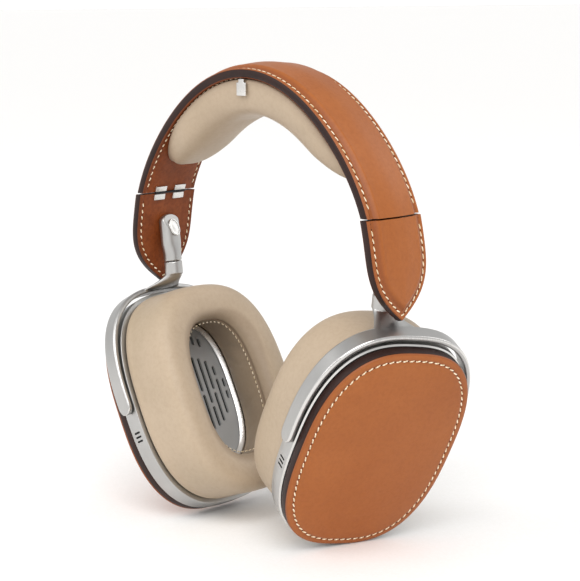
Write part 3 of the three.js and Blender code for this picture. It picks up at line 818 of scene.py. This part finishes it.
def buildDisc(side):
    body = f"cup_{side}"
    insets = np.concatenate([[0, 0.06, 0.2, 0.45, 0.8, 1.2, 1.7, 2.1, 2.4, 2.7, 3, 3.3, 3.6, 3.9, 4.3, 5],
                             np.arange(6, 29, 1.5)])
    rings = [outlineRing(0.5, -1.5)]
    rings += [outlineRing(inset, discHeight(inset)) for inset in insets]
    last = rings[-1]
    for share in (0.8, 0.6, 0.4, 0.2, 0.02):
        ring = last * [share, share, 1]
        ring[:, 2] = discHeight(36) - (discHeight(36) - last[0, 2]) * share
        rings.append(ring)
    points, faces = loft(rings)
    disc = makeObject(f"cup_face_leather_{side}", fromCup(points, side), faces)
    local = toCup(vertexArray(disc), side)
    angle = np.arctan2(local[:, 1], local[:, 0])
    edge = outlineRadius(angle, 0) - np.hypot(local[:, 0], local[:, 1])
    # darker at the cut edge, which is real burnish, and in the stitch groove 3 mm in, which is painted shade
    rim = 0.5 * (1 - smoothstep(0.0, 0.8, edge)) + 0.35 * np.exp(-((edge - 3.0) / 0.8) ** 2)
    setAttribute(disc, "burnish_and_shade", np.clip(rim, 0, 1))
    dress(disc, saddleLeather, body, [f"cover_leather_{side}"], sharp=50)

    turn = cupMatrix(side)
    path = outlineRing(3.0, discHeight(3.0) + 0.02, 600) @ turn.T + cupOrigin

    def outOfFace(point):
        return turn[:, 2]

    stitching(f"cup_face_stitches_{side}", [(path, outOfFace, True)], side, body)

    painted = [(0.7, -5.45), (0.25, -5.4), (0.0, -5.15), (-0.08, -4.6), (-0.12, -3.6), (-0.1, -2.6),
               (-0.04, -1.8), (0.12, -1.35), (0.4, -1.2)]
    points, faces = cupLoft(painted)
    dress(makeObject(f"cup_painted_edge_{side}", fromCup(points, side), faces), edgePaint, body,
          [f"cover_board_{side}"])


# moves a piece drawn with x outward onto the rim, at a height on the cup
def rimPlace(height, back):
    guess = math.asin(height / cup["halfHeight"])
    angle = guess if back else math.pi - guess
    for _ in range(14):
        error = height - outlinePoint(angle, -cup["lip"], 0.0)[1]
        angle += (1 if back else -1) * error / cup["halfWidth"]
    here = outlinePoint(angle, -cup["lip"], 0.0)
    ahead = outlinePoint(angle + 0.01, -cup["lip"], 0.0) - here
    turn = math.atan2(-ahead[0], ahead[1])
    spin = np.array([[math.cos(turn), -math.sin(turn), 0], [math.sin(turn), math.cos(turn), 0], [0, 0, 1]])
    origin = np.array([here[0], here[1], cup["ringMiddle"]])
    return spin, origin


def onRim(points, height, back):
    spin, origin = rimPlace(height, back)
    return np.asarray(points, float) @ spin.T + origin


# a round-ended bar: through along x, long along y, wide along z, with softened ends
def bar(length, width, low, high, edge=0.0, arc=12):
    half = (length - width) / 2
    turns = np.linspace(0, math.pi, arc)
    top = [(half + width / 2 * math.sin(t), width / 2 * math.cos(t)) for t in turns]
    bottom = [(-half - width / 2 * math.sin(t), -width / 2 * math.cos(t)) for t in turns]
    outline = np.array(top + bottom)
    rings = []
    stops = [(low, 0.0), (high, 0.0)]
    if edge:
        stops = [(low, 0.0), (high - edge, 0.0), (high - edge * 0.3, edge * 0.3), (high, edge)]
    for x, shrink in stops:
        scale = np.array([(length / 2 - shrink) / (length / 2), (width / 2 - shrink) / (width / 2)])
        ring = outline * scale
        rings.append(np.stack([np.full(len(ring), x), ring[:, 0], ring[:, 1]], 1))
    return loft(rings)


def rimBar(length, width, low, high, height, back, side, edge=0.0):
    points, faces = bar(length, width, low, high, edge)
    return fromCup(onRim(points, height, back), side), faces


rimParts = {"mic": -12, "play": -13, "volume": -25, "noise": -16}
micSlots = (-1.9, 0, 1.9)


# one bar of the microphone mark, lying across the rim
def micBar(length, width, low, high, y):
    points, faces = bar(length, width, low, high)
    points = np.asarray(points)[:, [0, 2, 1]] + [0, y, 0]
    return onRim(points, rimParts["mic"], False), faces


def cutter(points, faces):
    return makeObject("cutter", points, faces)


def portPlace(points, side):
    points = np.asarray(points, float)
    turned = np.stack([points[:, 1], -points[:, 0], points[:, 2]], 1)
    return fromCup(turned + [0, -cup["halfHeight"] - cup["lip"], cup["ringMiddle"]], side)


def buildShell(side):
    body = f"cup_{side}"
    lip, back = -cup["lip"], cup["ringBack"]
    profile = [(2.4, -7.6), (2.4, back + 0.3), (2.1, back), (lip + 0.5, back), (lip + 0.2, back + 0.08),
               (lip + 0.06, back + 0.25), (lip, back + 0.55), (lip, -10.0), (lip, -6.3), (lip + 0.02, -6.24),
               (lip + 0.5, -5.76), (lip + 0.58, -5.7)]
    points, faces = cupLoft(profile)
    shell = makeObject(f"cup_rim_{side}", fromCup(points, side), faces)
    shell.data.materials.append(blastedAluminium)
    shell.data.materials.append(polishedAluminium)
    centres = np.array([toCup(np.array(p.center), side) for p in shell.data.polygons])
    marks = ((centres[:, 2] > -6.28) & (centres[:, 2] < -5.71)).astype(np.int32)
    shell.data.polygons.foreach_set("material_index", marks)
    cutters = []
    for y in micSlots:
        points, faces = micBar(3.9, 0.9, -2.0, 1, y)
        cutters.append(cutter(fromCup(points, side), faces))
    if side == "right":
        cutters.append(cutter(*rimBar(5.2, 5.19, -4, 2, rimParts["play"], True, side)))
        cutters.append(cutter(*rimBar(12.2, 4.2, -4, 2, rimParts["volume"], True, side)))
    else:
        cutters.append(cutter(*rimBar(9.2, 4.2, -4, 2, rimParts["noise"], True, side)))
        points, faces = bar(10, 4, -6, 2)
        cutters.append(cutter(portPlace(points, side), faces))
    for rear in (False, True):
        cutters.append(cutter(*rimBar(4.2, 4.19, -5, 2, 2, rear, side)))
    cutAway(shell, cutters)
    keep = np.zeros(len(shell.data.polygons), np.int32)
    shell.data.polygons.foreach_get("material_index", keep)
    dress(shell, [blastedAluminium, polishedAluminium], body,
          [f"cup_shell_{side}"], sharp=24)
    shell.data.polygons.foreach_set("material_index", keep)


# the pressed parts on each cup's rear rim: piece, length and width of its cap, place, node
controls = {
    "right": [("play_button", 4.6, 4.59, "play"), ("volume_rocker", 11.6, 3.6, "volume")],
    "left": [("noise_button", 8.6, 3.6, "noise")],
}


def buildControls(side):
    for name, length, width, place in controls[side]:
        points, faces = rimBar(length, width, -2, 0.45, rimParts[place], True, side, edge=0.35)
        cap = makeObject(f"{name}_cap", points, faces)
        dress(cap, blastedAluminium, name, [f"{name}_{side}"])


# a round field of long slots, each column in two parts with the bridges stepping up and down,
# and a curved row of short slots above it
baffle = {
    "inset": 3.2, "front": -13.0, "back": -14.0, "column": 3.4, "field": 17.5, "columns": 5,
    "bridge": 0.75, "wide": 1.6, "row": 25.8, "short": 4.3,
}


# the slots as (x, low end, high end)
def baffleSlots():
    slots = []
    for column in range(-baffle["columns"], baffle["columns"] + 1):
        x = column * baffle["column"]
        reach = baffle["field"] * math.sqrt(1 - (column / (baffle["columns"] + 0.2)) ** 2)
        bridge = 0 if column % 2 else (-6 if column % 4 else 6)
        slots.append((x, bridge + baffle["bridge"], reach))
        slots.append((x, -reach, bridge - baffle["bridge"]))
        if abs(column) <= 3:
            middle = baffle["row"] - 0.3 * column ** 2
            slots.append((x, middle - baffle["short"] / 2, middle + baffle["short"] / 2))
    return [slot for slot in slots if slot[2] - slot[1] > baffle["wide"] + 0.1]


def buildBaffle(side):
    body = f"cup_{side}"
    front, back = baffle["front"], baffle["back"]
    points, faces = cupLoft([(baffle["inset"], front), (baffle["inset"], back + 0.2),
                             (baffle["inset"] + 0.2, back)], segments=96)
    plate = makeObject(f"baffle_plate_{side}", fromCup(points, side), faces)
    parts = []
    for x, low, high in baffleSlots():
        points, faces = bar(high - low, baffle["wide"], -1.2, 1.2, arc=8)
        # turned so that the bar's length runs up the cup and it cuts through the plate
        parts.append((np.stack([points[:, 2] + x, points[:, 1] + (low + high) / 2,
                                points[:, 0] + (front + back) / 2], 1), faces))
    points, faces = gather(parts)
    cutAway(plate, [cutter(fromCup(points, side), faces)])
    dress(plate, baffleMetal, body, [f"baffle_{side}"])

    trim = [(14.6, -14.35), (16.5, -14.35), (17.0, -14.45), (17.25, -14.75), (17.15, -15.05), (15.7, -16.1),
            (15.3, -16.2), (14.9, -16.15), (14.6, -16.0)]
    points, faces = cupLoft(trim, closed=True)
    dress(makeObject(f"baffle_bezel_{side}", fromCup(points, side), faces), turnedAluminium, body,
          [f"baffle_trim_{side}"])


for side in sides:
    buildDisc(side)
    buildShell(side)
    buildControls(side)
    buildBaffle(side)
print("cups built")

# arms: socket, oval cap, rod and yoke
arm = {
    "lean": 7.5, "footX": 63.2, "footZ": -31.0, "socket": 21.0, "stem": 4.0, "stemLength": 5.0,
    "rod": 2.0, "rodTop": 15.0, "capLean": 0.35,
    "yokeHalf": 4.0, "yokeThick": 2.2, "yokeRise": 0.8, "saddleHalf": 15.0, "pivot": 2.0,
    "gap": 0.3,
}
leanAngle = math.radians(arm["lean"])


def onArm(points):
    points = np.asarray(points, float)
    c, s = math.cos(leanAngle), math.sin(leanAngle)
    x = points[..., 0] * c + points[..., 2] * s + arm["footX"]
    z = -points[..., 0] * s + points[..., 2] * c + arm["footZ"]
    return np.stack([x, points[..., 1], z], axis=-1)


def ellipse(halfX, halfY, z, sides=64):
    turns = np.linspace(0, 2 * math.pi, sides, endpoint=False)
    return np.stack([halfX * np.cos(turns), halfY * np.sin(turns), np.full(sides, z)], 1)


def onCap(points):
    points = np.asarray(points, float)
    turn = -math.pi / 2 + arm["capLean"]
    c, s = math.cos(turn), math.sin(turn)
    points = np.stack([points[:, 0] * c + points[:, 2] * s, points[:, 1],
                       -points[:, 0] * s + points[:, 2] * c], 1)
    return onArm(points + [-3, 0, arm["socket"] - 6.2])


def buildSocket(side):
    body = f"tab_{side}"
    rings = [ellipse(3.7, 3.7, 0), ellipse(4.0, 4.0, 0.3)]
    for height in np.linspace(0.8, arm["socket"] - 3.2, 30):
        swell = float(smoothstep(3, 9, height))
        rings.append(ellipse(4 - 0.4 * swell, 4 + 0.9 * swell, height))
    for share in np.linspace(0.1, 0.995, 12):
        dome = math.sqrt(1 - share ** 2)
        rings.append(ellipse(3.6 * dome, 4.9 * dome, arm["socket"] - 3.2 + 3.2 * share))
    points, faces = loft(rings)
    socket = makeObject(f"arm_socket_body_{side}", toRow(onArm(points), side), faces)
    half = 8
    corners = [(x, y, z) for x in (-half, half) for y in (-half, half) for z in (0, 7)]
    boxFaces = [(0, 1, 3, 2), (4, 6, 7, 5), (0, 4, 5, 1), (2, 3, 7, 6), (0, 2, 6, 4), (1, 5, 7, 3)]
    facet = cutter(toRow(onCap(corners), side), boxFaces)
    depth = np.linspace(-6, 42, 40)
    rows = [[tabPoint(y, d, inset) for y, inset in ((-9, -8), (9, -8), (9, 4.3), (-9, 4.3))] for d in depth]
    points, faces = loft(rows)
    wall = cutter(toRow(points, side), faces)
    cutAway(socket, [facet, wall])
    remeshed(socket, 0.3, 3)
    bore = arm["rod"] + arm["gap"]
    points, faces = loft([ellipse(bore, bore, z, 40) for z in (-2, arm["rodTop"] + 0.5)])
    cutAway(socket, [cutter(toRow(onArm(points), side), faces)])
    dress(socket, blastedAluminium, body, [f"arm_socket_{side}"], sharp=40)

    profile = [(3.8, 2.5, 0.08), (4.05, 2.75, 0.3), (4.05, 2.75, 0.6), (3.9, 2.6, 0.8), (3.6, 2.3, 0.85),
               (3.4, 2.12, 0.8), (3.32, 2.05, 0.62), (3.0, 1.85, 0.6), (1.5, 0.9, 0.66), (0.1, 0.06, 0.68)]
    rings = [ellipse(a, b, z, 72) for a, b, z in profile]
    points, faces = loft(rings)
    cap = makeObject(f"socket_oval_cap_{side}", toRow(onCap(points), side), faces)
    dress(cap, turnedAluminium, body, [f"socket_cap_{side}"])

    rod = [(1.6, -4.4), (2.0, -4.0), (2.0, 14.4), (1.5, 15.0)]
    points, faces = loft([ellipse(r, r, z, 48) for r, z in rod])
    dress(makeObject(f"arm_slide_rod_{side}", toRow(onArm(points), side), faces), springSteel,
          f"arm_{side}", [f"arm_rod_{side}"])


def yokeInset(angle):
    return -cup["lip"] - 0.6 - arm["yokeRise"] * np.maximum(0, np.sin(angle))


def yokeSection(angle, half):
    inner = float(yokeInset(angle))
    outer = inner - arm["yokeThick"]
    scale = half / arm["yokeHalf"]
    cut, soft = 0.7 * scale, 0.4 * scale
    mid = cup["ringMiddle"]
    pairs = [(inner, mid - half + soft), (inner, mid + half - soft), (inner - soft, mid + half),
             (outer + cut, mid + half), (outer, mid + half - cut), (outer, mid), (outer, mid - half + cut),
             (outer + cut, mid - half), (inner - soft, mid - half)]
    return [outlinePoint(angle, inset, z) for inset, z in pairs]


def yokeBand():
    first = math.asin((arm["pivot"] - arm["yokeHalf"]) / cup["halfHeight"])
    last = math.pi - first
    spread = [(1 - math.cos(t)) * arm["yokeHalf"] for t in np.linspace(0.06, math.pi / 2, 14)]
    ends = []
    for reach in spread:
        half = math.sqrt(arm["yokeHalf"] ** 2 - (arm["yokeHalf"] - reach) ** 2)
        ends.append((first + reach / cup["halfWidth"], half))
    start = ends[-1][0]
    middle = [(angle, arm["yokeHalf"]) for angle in np.linspace(start, math.pi - start, 180)[1:-1]]
    rows = ends + middle + [(last + first - angle, half) for angle, half in reversed(ends)]
    return loft([yokeSection(angle, half) for angle, half in rows])


def bandHeight(x):
    angle = math.pi / 2
    for _ in range(8):
        inset = yokeInset(angle) - arm["yokeThick"] / 2
        angle -= (x - outlinePoint(angle, inset, 0.0)[0]) / cup["halfHeight"]
    return float(outlinePoint(angle, yokeInset(angle) - arm["yokeThick"] / 2, 0.0)[1])


# a point of the arm's axis, in the cup's own directions
def armPoint(height, side):
    return (onArm([0, 0, height]) - cupOrigin) @ cupMatrix(side)


# the saddle that flows from the round stem down and outward into the band
def yokeSaddle(side):
    crest = float(outlineRadius(math.pi / 2, yokeInset(math.pi / 2) - arm["yokeThick"] / 2))
    a, b = armPoint(-arm["stemLength"], side), armPoint(-arm["stemLength"] - 3.2, side)
    c = np.array([a[0] / 2, crest, cup["ringMiddle"] + arm["yokeHalf"] - 1.2])
    rings = []
    steps, around = 26, 72
    for i in range(steps + 1):
        t = i / steps
        middle = (1 - t) ** 2 * a + 2 * t * (1 - t) * b + t * t * c
        ahead = unit(2 * (1 - t) * (b - a) + 2 * t * (c - b))
        rise = np.array([0, ahead[2], -ahead[1]])
        spread = t ** 2.4
        root = arm["stem"] - 0.05
        halfWidth = root + (arm["saddleHalf"] - root) * spread
        halfDepth = root + (arm["yokeThick"] / 4 - root) * t ** 0.65
        ring = []
        for j in range(around):
            angle = 2 * math.pi * j / around
            power = 1 - 0.6 * spread
            x = middle[0] + halfWidth * np.sign(math.cos(angle)) * abs(math.cos(angle)) ** power
            h = halfDepth * math.sin(angle)
            sag = spread * (crest - bandHeight(x))
            ring.append([x, middle[1] + rise[1] * h - sag, middle[2] + rise[2] * h])
        rings.append(ring)
    return loft(rings)


def buildYoke(side):
    body = f"yoke_{side}"
    ends = (-arm["stemLength"] - 0.8, -arm["gap"])
    stemRings = [ellipse(arm["stem"], arm["stem"], z, 72) for z in ends]
    points, faces = loft(stemRings)
    stem = (onArm(points) - cupOrigin) @ cupMatrix(side), faces
    points, faces = gather([yokeBand(), yokeSaddle(side), stem])
    yoke = makeObject(f"yoke_fork_{side}", fromCup(points, side), faces)
    remeshed(yoke, 0.28, 3)
    bore = arm["rod"] + arm["gap"]
    points, faces = loft([ellipse(bore, bore, z, 40) for z in (-4.9, 2)])
    cutAway(yoke, [cutter(toRow(onArm(points), side), faces)])
    local = toCup(vertexArray(yoke), side)
    normals = np.zeros(len(yoke.data.vertices) * 3, np.float32)
    yoke.data.vertices.foreach_get("normal", normals)
    normals = normals.reshape(-1, 3).astype(float)
    if side == "left":
        normals[:, 0] *= -1
    normals = normals @ cupMatrix(side)
    radial = unit(local[:, :2])
    outward = np.sum(normals[:, :2] * radial, axis=1)
    tilted = smoothstep(0.25, 0.4, outward) * (1 - smoothstep(0.88, 0.95, outward))
    nearFront = smoothstep(-1.5, -1.0, local[:, 2] - cup["ringMiddle"] - arm["yokeHalf"])
    front = smoothstep(0.25, 0.4, normals[:, 2]) * nearFront
    tip = smoothstep(0.25, 0.4, -normals[:, 1]) * (1 - smoothstep(1.5, 3, local[:, 1]))
    setAttribute(yoke, "polish", tilted * np.maximum(front, tip))
    dress(yoke, blastedAluminium, body, [f"yoke_{side}"], sharp=60)


for side in sides:
    buildSocket(side)
    buildYoke(side)
print("arms built")

# small metal parts: the CAD shape with its edges softened


def softened(node, name, material, body, width=0.15):
    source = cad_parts[node]
    made = bpy.data.objects.new(name, source.data.copy())
    scene.collection.objects.link(made)
    work = bmesh.new()
    work.from_mesh(made.data)
    bmesh.ops.remove_doubles(work, verts=work.verts, dist=1e-6)
    bmesh.ops.dissolve_limit(work, angle_limit=math.radians(2), verts=work.verts, edges=work.edges)
    work.to_mesh(made.data)
    work.free()
    step = made.modifiers.new("soften", "BEVEL")
    step.width = width * mm
    step.segments = 3
    step.limit_method = "ANGLE"
    step.angle_limit = math.radians(40)
    applyModifiers(made)
    return dress(made, material, body, [node], sharp=40)


leaf = {"width": 6.1, "start": 0.7, "end": 3.4, "thick": 0.9, "spread": 5.4, "round": 0.28}


# one hinge leaf, lying on the lining just above or below the fold
def buildLeaf(end, above, side):
    y0 = leaf["spread"] * (-1 if end == "front" else 1)
    rings = []
    for out, shrink in ((-0.3, 0.0), (leaf["thick"] - 0.3, 0.0), (leaf["thick"] - 0.1, 0.06),
                        (leaf["thick"], 0.22)):
        halfY = leaf["width"] / 2 - shrink
        low, high = leaf["start"] + shrink, leaf["end"] - shrink
        ring = []
        for cornerY, cornerD, phase in ((1, high, 0), (-1, high, 1), (-1, low, 2), (1, low, 3)):
            inY = y0 + cornerY * (halfY - leaf["round"])
            inD = cornerD - leaf["round"] * (1 if cornerD == high else -1)
            for t in np.linspace(0, math.pi / 2, 5):
                turn = t + phase * math.pi / 2
                y, depth = inY + leaf["round"] * math.cos(turn), inD + leaf["round"] * math.sin(turn)
                if above:
                    angle = foldAngle(4.0) + (depth - foldGap) / band["radius"]
                    ring.append(archPoint(angle, 4.05 + out, y))
                else:
                    ring.append(tabPoint(y, depth, 4.05 + out))
        rings.append(ring)
    points, faces = loft(rings)
    place, body = ("upper", "headband") if above else ("lower", f"tab_{side}")
    piece = makeObject(f"{place}_leaf_{end}_{side}", toRow(points, side), faces)
    dress(piece, turnedAluminium, body, [f"hinge_{place}_{end}_{side}"], sharp=50)


def buildSmallParts(side):
    for end in ("front", "back"):
        buildLeaf(end, True, side)
        buildLeaf(end, False, side)
        softened(f"pivot_{end}_{side}", f"pivot_screw_{end}_{side}", springSteel, f"yoke_{side}")
    parts = []
    for y in micSlots:
        points, faces = micBar(3.85, 0.86, -1.9, -1.2, y)
        parts.append((fromCup(points, side), faces))
    mesh = makeObject(f"mic_mesh_{side}", *gather(parts))
    dress(mesh, darkAbs, f"cup_{side}", [f"mic_grille_{side}"])


for side in sides:
    buildSmallParts(side)
softened("crown_clip", "crown_keeper", turnedAluminium, "headband", 0.2)
softened("charging_port_left", "charging_inlet", springSteel, "cup_left", 0.1)
print("small parts built")

# cushions
cushions = {
    "pressure": 14.0, "frames": 20, "crownCap": 1.6, "earCap": 1.8, "crownShrink": 0.7, "earShrink": 0.7,
    "crownSpan": 1.05, "crownDepth": 15.7, "crownHalf": 15.2,
    "seamRise": 7.5,  # the inner seam of an ear cushion, above its lip
}


# foam and air under a sewn skin: a short cloth run swells the shape between its pinned seams,
# and the cap keeps it in its place
def inflate(piece, pins, cap, shrink):
    start = vertexArray(piece)
    normals = np.zeros(len(piece.data.vertices) * 3, np.float32)
    piece.data.vertices.foreach_get("normal", normals)
    start -= normals.reshape(-1, 3) * (1 - pins[:, None]) * shrink * mm
    setVertices(piece, start)
    held = piece.vertex_groups.new(name="held")
    for number, weight in enumerate(pins):
        held.add([number], float(weight), "REPLACE")
    cloth = piece.modifiers.new("cloth", "CLOTH")
    cloth.settings.quality = 5
    cloth.settings.mass = 0.1
    cloth.settings.vertex_group_mass = "held"
    cloth.settings.use_pressure = True
    cloth.settings.uniform_pressure_force = cushions["pressure"]
    cloth.settings.effector_weights.gravity = 0
    cloth.point_cache.frame_end = cushions["frames"]
    for number in range(1, cushions["frames"] + 1):
        scene.frame_set(number)
    swollen = piece.evaluated_get(bpy.context.evaluated_depsgraph_get())
    moved = np.array([v.co for v in swollen.data.vertices], float) - start
    piece.modifiers.clear()
    piece.vertex_groups.clear()
    length = np.linalg.norm(moved, axis=1, keepdims=True)
    most, average = length.max() / mm, length.mean() / mm
    print(f"  {piece.name} moved {most:.2f} mm at most, {average:.2f} on average")
    moved *= np.minimum(1, cap * mm / np.maximum(length, 1e-9))
    setVertices(piece, start + moved)
    scene.frame_set(1)
    finer = piece.modifiers.new("finer", "SUBSURF")
    finer.levels = finer.render_levels = 1
    return applyModifiers(piece)


# an even run of points along a closed smooth line through the given corners
def smoothLoop(corners, count):
    corners = np.array(corners, float)
    many = []
    for i in range(len(corners)):
        a, b, c, d = (corners[(i + k) % len(corners)] for k in (-1, 0, 1, 2))
        for t in np.linspace(0, 1, 12, endpoint=False):
            many.append(0.5 * (2 * b + (c - a) * t + (2 * a - 5 * b + 4 * c - d) * t * t
                               + (3 * b - a - 3 * c + d) * t ** 3))
    many = np.array(many + [many[0]])
    total = np.concatenate([[0], np.cumsum(np.linalg.norm(np.diff(many, axis=0), axis=1))])
    wanted = np.linspace(0, total[-1], count, endpoint=False)
    return np.stack([np.interp(wanted, total, many[:, k]) for k in range(corners.shape[1])], 1)


# depth below the arch's outer line
def archInset(points):
    angle = np.arctan2(points[:, 2] - band["centre"], points[:, 0])
    outer = band["radius"] - band["stretch"] * np.cos(2 * angle) + band["shoulder"] * np.cos(4 * angle)
    return outer - np.hypot(points[:, 0], points[:, 2] - band["centre"])


def crownShape():
    steps, around = 56, 34
    rings = []
    for i in range(steps + 1):
        along = math.sin(math.pi / 2 * (-1 + 2 * i / steps))
        angle = math.pi / 2 - along * cushions["crownSpan"]
        full = math.sqrt(max(0, 1 - abs(along) ** 3.4))
        half = 2.0 + (cushions["crownHalf"] - 2.0) * min(1, 1.15 * full)
        depth = 1.2 + (cushions["crownDepth"] - 1.2) * full
        ring = [archPoint(angle, 4.35, half * 0.985 * s) for s in np.linspace(-1, 1, 14)]
        for j in range(1, around):
            turn = math.pi * j / around
            y = half * np.sign(math.cos(turn)) * abs(math.cos(turn)) ** 0.55
            ring.append(archPoint(angle, 4.8 + depth * math.sin(turn) ** 0.55, y))
        rings.append(ring)
    return loft(rings)


def buildCrownCushion():
    points, faces = crownShape()
    pad = makeObject("crown_pad", toRow(points), faces)
    flat = vertexArray(pad) / mm - [0, 0, foldHeight]
    pins = (archInset(flat) < 4.5).astype(float)
    inflate(pad, pins, cushions["crownCap"], cushions["crownShrink"])
    points = vertexArray(pad) / mm - [0, 0, foldHeight]
    # the pad lies flat against the lining
    inset = archInset(points)
    radius = np.hypot(points[:, 0], points[:, 2] - band["centre"])
    share = 1 - np.maximum(0, 4.35 - inset) / radius
    points[:, 0] *= share
    points[:, 2] = band["centre"] + (points[:, 2] - band["centre"]) * share
    setVertices(pad, toRow(points))
    # a little darker all over, and painted shade where the pad meets the lining
    setAttribute(pad, "burnish_and_shade", 0.12 + 0.5 * (1 - smoothstep(4.6, 7.8, inset)))
    dress(pad, lambskin, "headband", ["crown_cushion"], sharp=180)


# the ear cushion hangs a little lower towards its tip
def droop(points, way=1):
    lower = cup["earDroop"] * np.maximum(0, cup["seat"] - points[:, 2])
    return points - way * np.stack([0 * lower, lower, 0 * lower], 1)


def cushionProfile():
    seat, skirt = cup["seat"], cup["skirt"]
    tip = seat - cup["earDepth"]
    return [(2.8, skirt), (1.0, skirt), (0.5, seat - 1.5), (0.4, seat - 8), (0.5, tip + 9),
            (1.8, tip + 3.2), (5.0, tip + 0.5), (9.6, tip), (13.8, tip + 0.7), (17.0, tip + 3.2),
            (18.2, tip + cushions["seamRise"]), (18.0, tip + 13), (16.6, seat - 5), (15.6, seat - 1),
            (15.0, seat), (8, seat), (3.2, seat)]


# the pad's points in the cup's directions without the droop, and each one's distance in
def padPlaces(pad, side):
    local = droop(toCup(vertexArray(pad), side), -1)
    angle = np.arctan2(local[:, 1], local[:, 0])
    return local, outlineRadius(angle, 0) - np.hypot(local[:, 0], local[:, 1])


def buildEarCushion(side):
    body = f"cup_{side}"
    around, ringPoints = 116, 40
    section = smoothLoop(cushionProfile(), ringPoints)
    points, faces = loft([outlineRing(inset, z, around) for inset, z in section], closed=True)
    pad = makeObject(f"ear_pad_{side}", fromCup(droop(points), side), faces)
    local, inset = padPlaces(pad, side)
    seamHeight = cup["seat"] - cup["earDepth"] + cushions["seamRise"]
    pins = np.maximum(smoothstep(cup["seat"] - 1.5, cup["seat"] - 0.6, local[:, 2]),
                      0.9 * np.exp(-((local[:, 2] - seamHeight) / 1.3) ** 2) * (inset > 13))
    inflate(pad, pins, cushions["earCap"], cushions["earShrink"])
    finer = pad.modifiers.new("finer", "SUBSURF")
    finer.levels = finer.render_levels = 1
    applyModifiers(pad)
    local, inset = padPlaces(pad, side)
    local[:, 2] = np.minimum(local[:, 2], cup["skirt"] + 0.02)
    onInner = smoothstep(13, 15.5, inset)
    seam = np.exp(-((local[:, 2] - seamHeight) / 0.7) ** 2) * onInner
    pull = 1 + 0.6 * seam / np.maximum(np.hypot(local[:, 0], local[:, 1]), 1)
    local[:, :2] *= pull[:, None]
    setVertices(pad, fromCup(droop(local), side))
    # painted shade along the inner seam's crease and down the inner wall
    setAttribute(pad, "burnish_and_shade", np.clip(0.5 * seam + 0.3 * onInner, 0, 1))
    dress(pad, lambskin, body, [f"ear_cushion_{side}"], sharp=180)

    turn = cupMatrix(side)
    seamInset = float(np.median(inset[(np.abs(local[:, 2] - seamHeight) < 0.5) & (inset > 14)]))
    path = droop(outlineRing(seamInset - 0.45, seamHeight, 500)) @ turn.T + cupOrigin

    def inward(point):
        spot = (point - cupOrigin) @ turn
        return unit(-turn[:, 0] * spot[0] - turn[:, 1] * spot[1])

    stitching(f"ear_pad_stitches_{side}", [(path, inward, True)], side, body, 1, 1.5, 2.2, 0.42)


buildCrownCushion()
for side in sides:
    buildEarCushion(side)
print("cushions sewn")

# what stays from the frame gets its real finish
keptFinish = {
    "band_strip": springSteel, "tab_plate": springSteel, "hinge_pin": blackSteel, "driver": darkAbs,
    "cushion_plate": darkAbs, "circuit_board": boardLaminate, "battery": batteryWrap,
}
for name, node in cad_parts.items():
    for start, material in keptFinish.items():
        if name.startswith(start) and not node.hide_render:
            for part in node.material_slots:
                part.material = material

# floor and light
studio = {
    "world": 0.66, "sun": 1.9, "sunWidth": 50, "key": 5, "rim": 3, "floorHalf": 150,
    "paper": [(0.3, "#f4f3f1"), (0.7, "#f8f7f6")],
}


def makeStage():
    made, tree = newMaterial("matt paper")
    place = add(tree, "ShaderNodeTexCoord").outputs["Object"]
    fibre = add(tree, "ShaderNodeTexNoise", {"Vector": place, "Scale": 900.0, "Detail": 2.0}).outputs["Fac"]
    bump = add(tree, "ShaderNodeBump", {"Height": fibre, "Strength": 0.04, "Distance": 0.1 * mm})
    colour = add(tree, "ShaderNodeValToRGB", {"Fac": fibre}, studio["paper"]).outputs["Color"]
    finishMaterial(tree, {
        "Base Color": colour, "Roughness": 0.9, "Specular IOR Level": 0.1,
    }, bump.outputs[0])
    wide = studio["floorHalf"]
    corners = [(x * wide, y * wide, floorHeight) for x, y in ((-1, -1), (1, -1), (1, 1), (-1, 1))]
    floor = makeObject("floor", corners, [(0, 1, 2, 3)])
    floor.data.materials.append(made)

    world = bpy.data.worlds.new("studio")
    world.use_nodes = True
    sky = world.node_tree
    backdrop = sky.nodes["Background"]
    backdrop.inputs["Color"].default_value = (1, 1, 1, 1)
    # the backdrop is white where it meets the floor and a little dimmer overhead
    height = add(sky, "ShaderNodeSeparateXYZ", {
        "Vector": add(sky, "ShaderNodeTexCoord").outputs["Generated"],
    }).outputs["Z"]
    strength = add(sky, "ShaderNodeMapRange", {
        "Value": height, "From Min": 0.04, "From Max": 0.3, "To Min": 1.05, "To Max": studio["world"],
    }).outputs["Result"]
    sky.links.new(strength, backdrop.inputs["Strength"])
    scene.world = world
    aim = Vector((0, 0, -0.08))
    for name, kind, power, size, place in (
            ("sun", "SUN", studio["sun"], studio["sunWidth"], (0.7, -0.75, 0.9)),
            ("key", "AREA", studio["key"], 0.7, (-0.5, -1.1, 0.7)),
            ("rim", "AREA", studio["rim"], 0.8, (0.5, 1.2, 0.8))):
        lamp = bpy.data.lights.new(name, kind)
        lamp.energy = power
        if kind == "SUN":
            lamp.angle = math.radians(size)
        else:
            lamp.size = size
        stand = bpy.data.objects.new(name, lamp)
        scene.collection.objects.link(stand)
        stand.location = place
        stand.rotation_euler = (aim - Vector(place)).to_track_quat("-Z", "Y").to_euler()


makeStage()
print("stage lit")
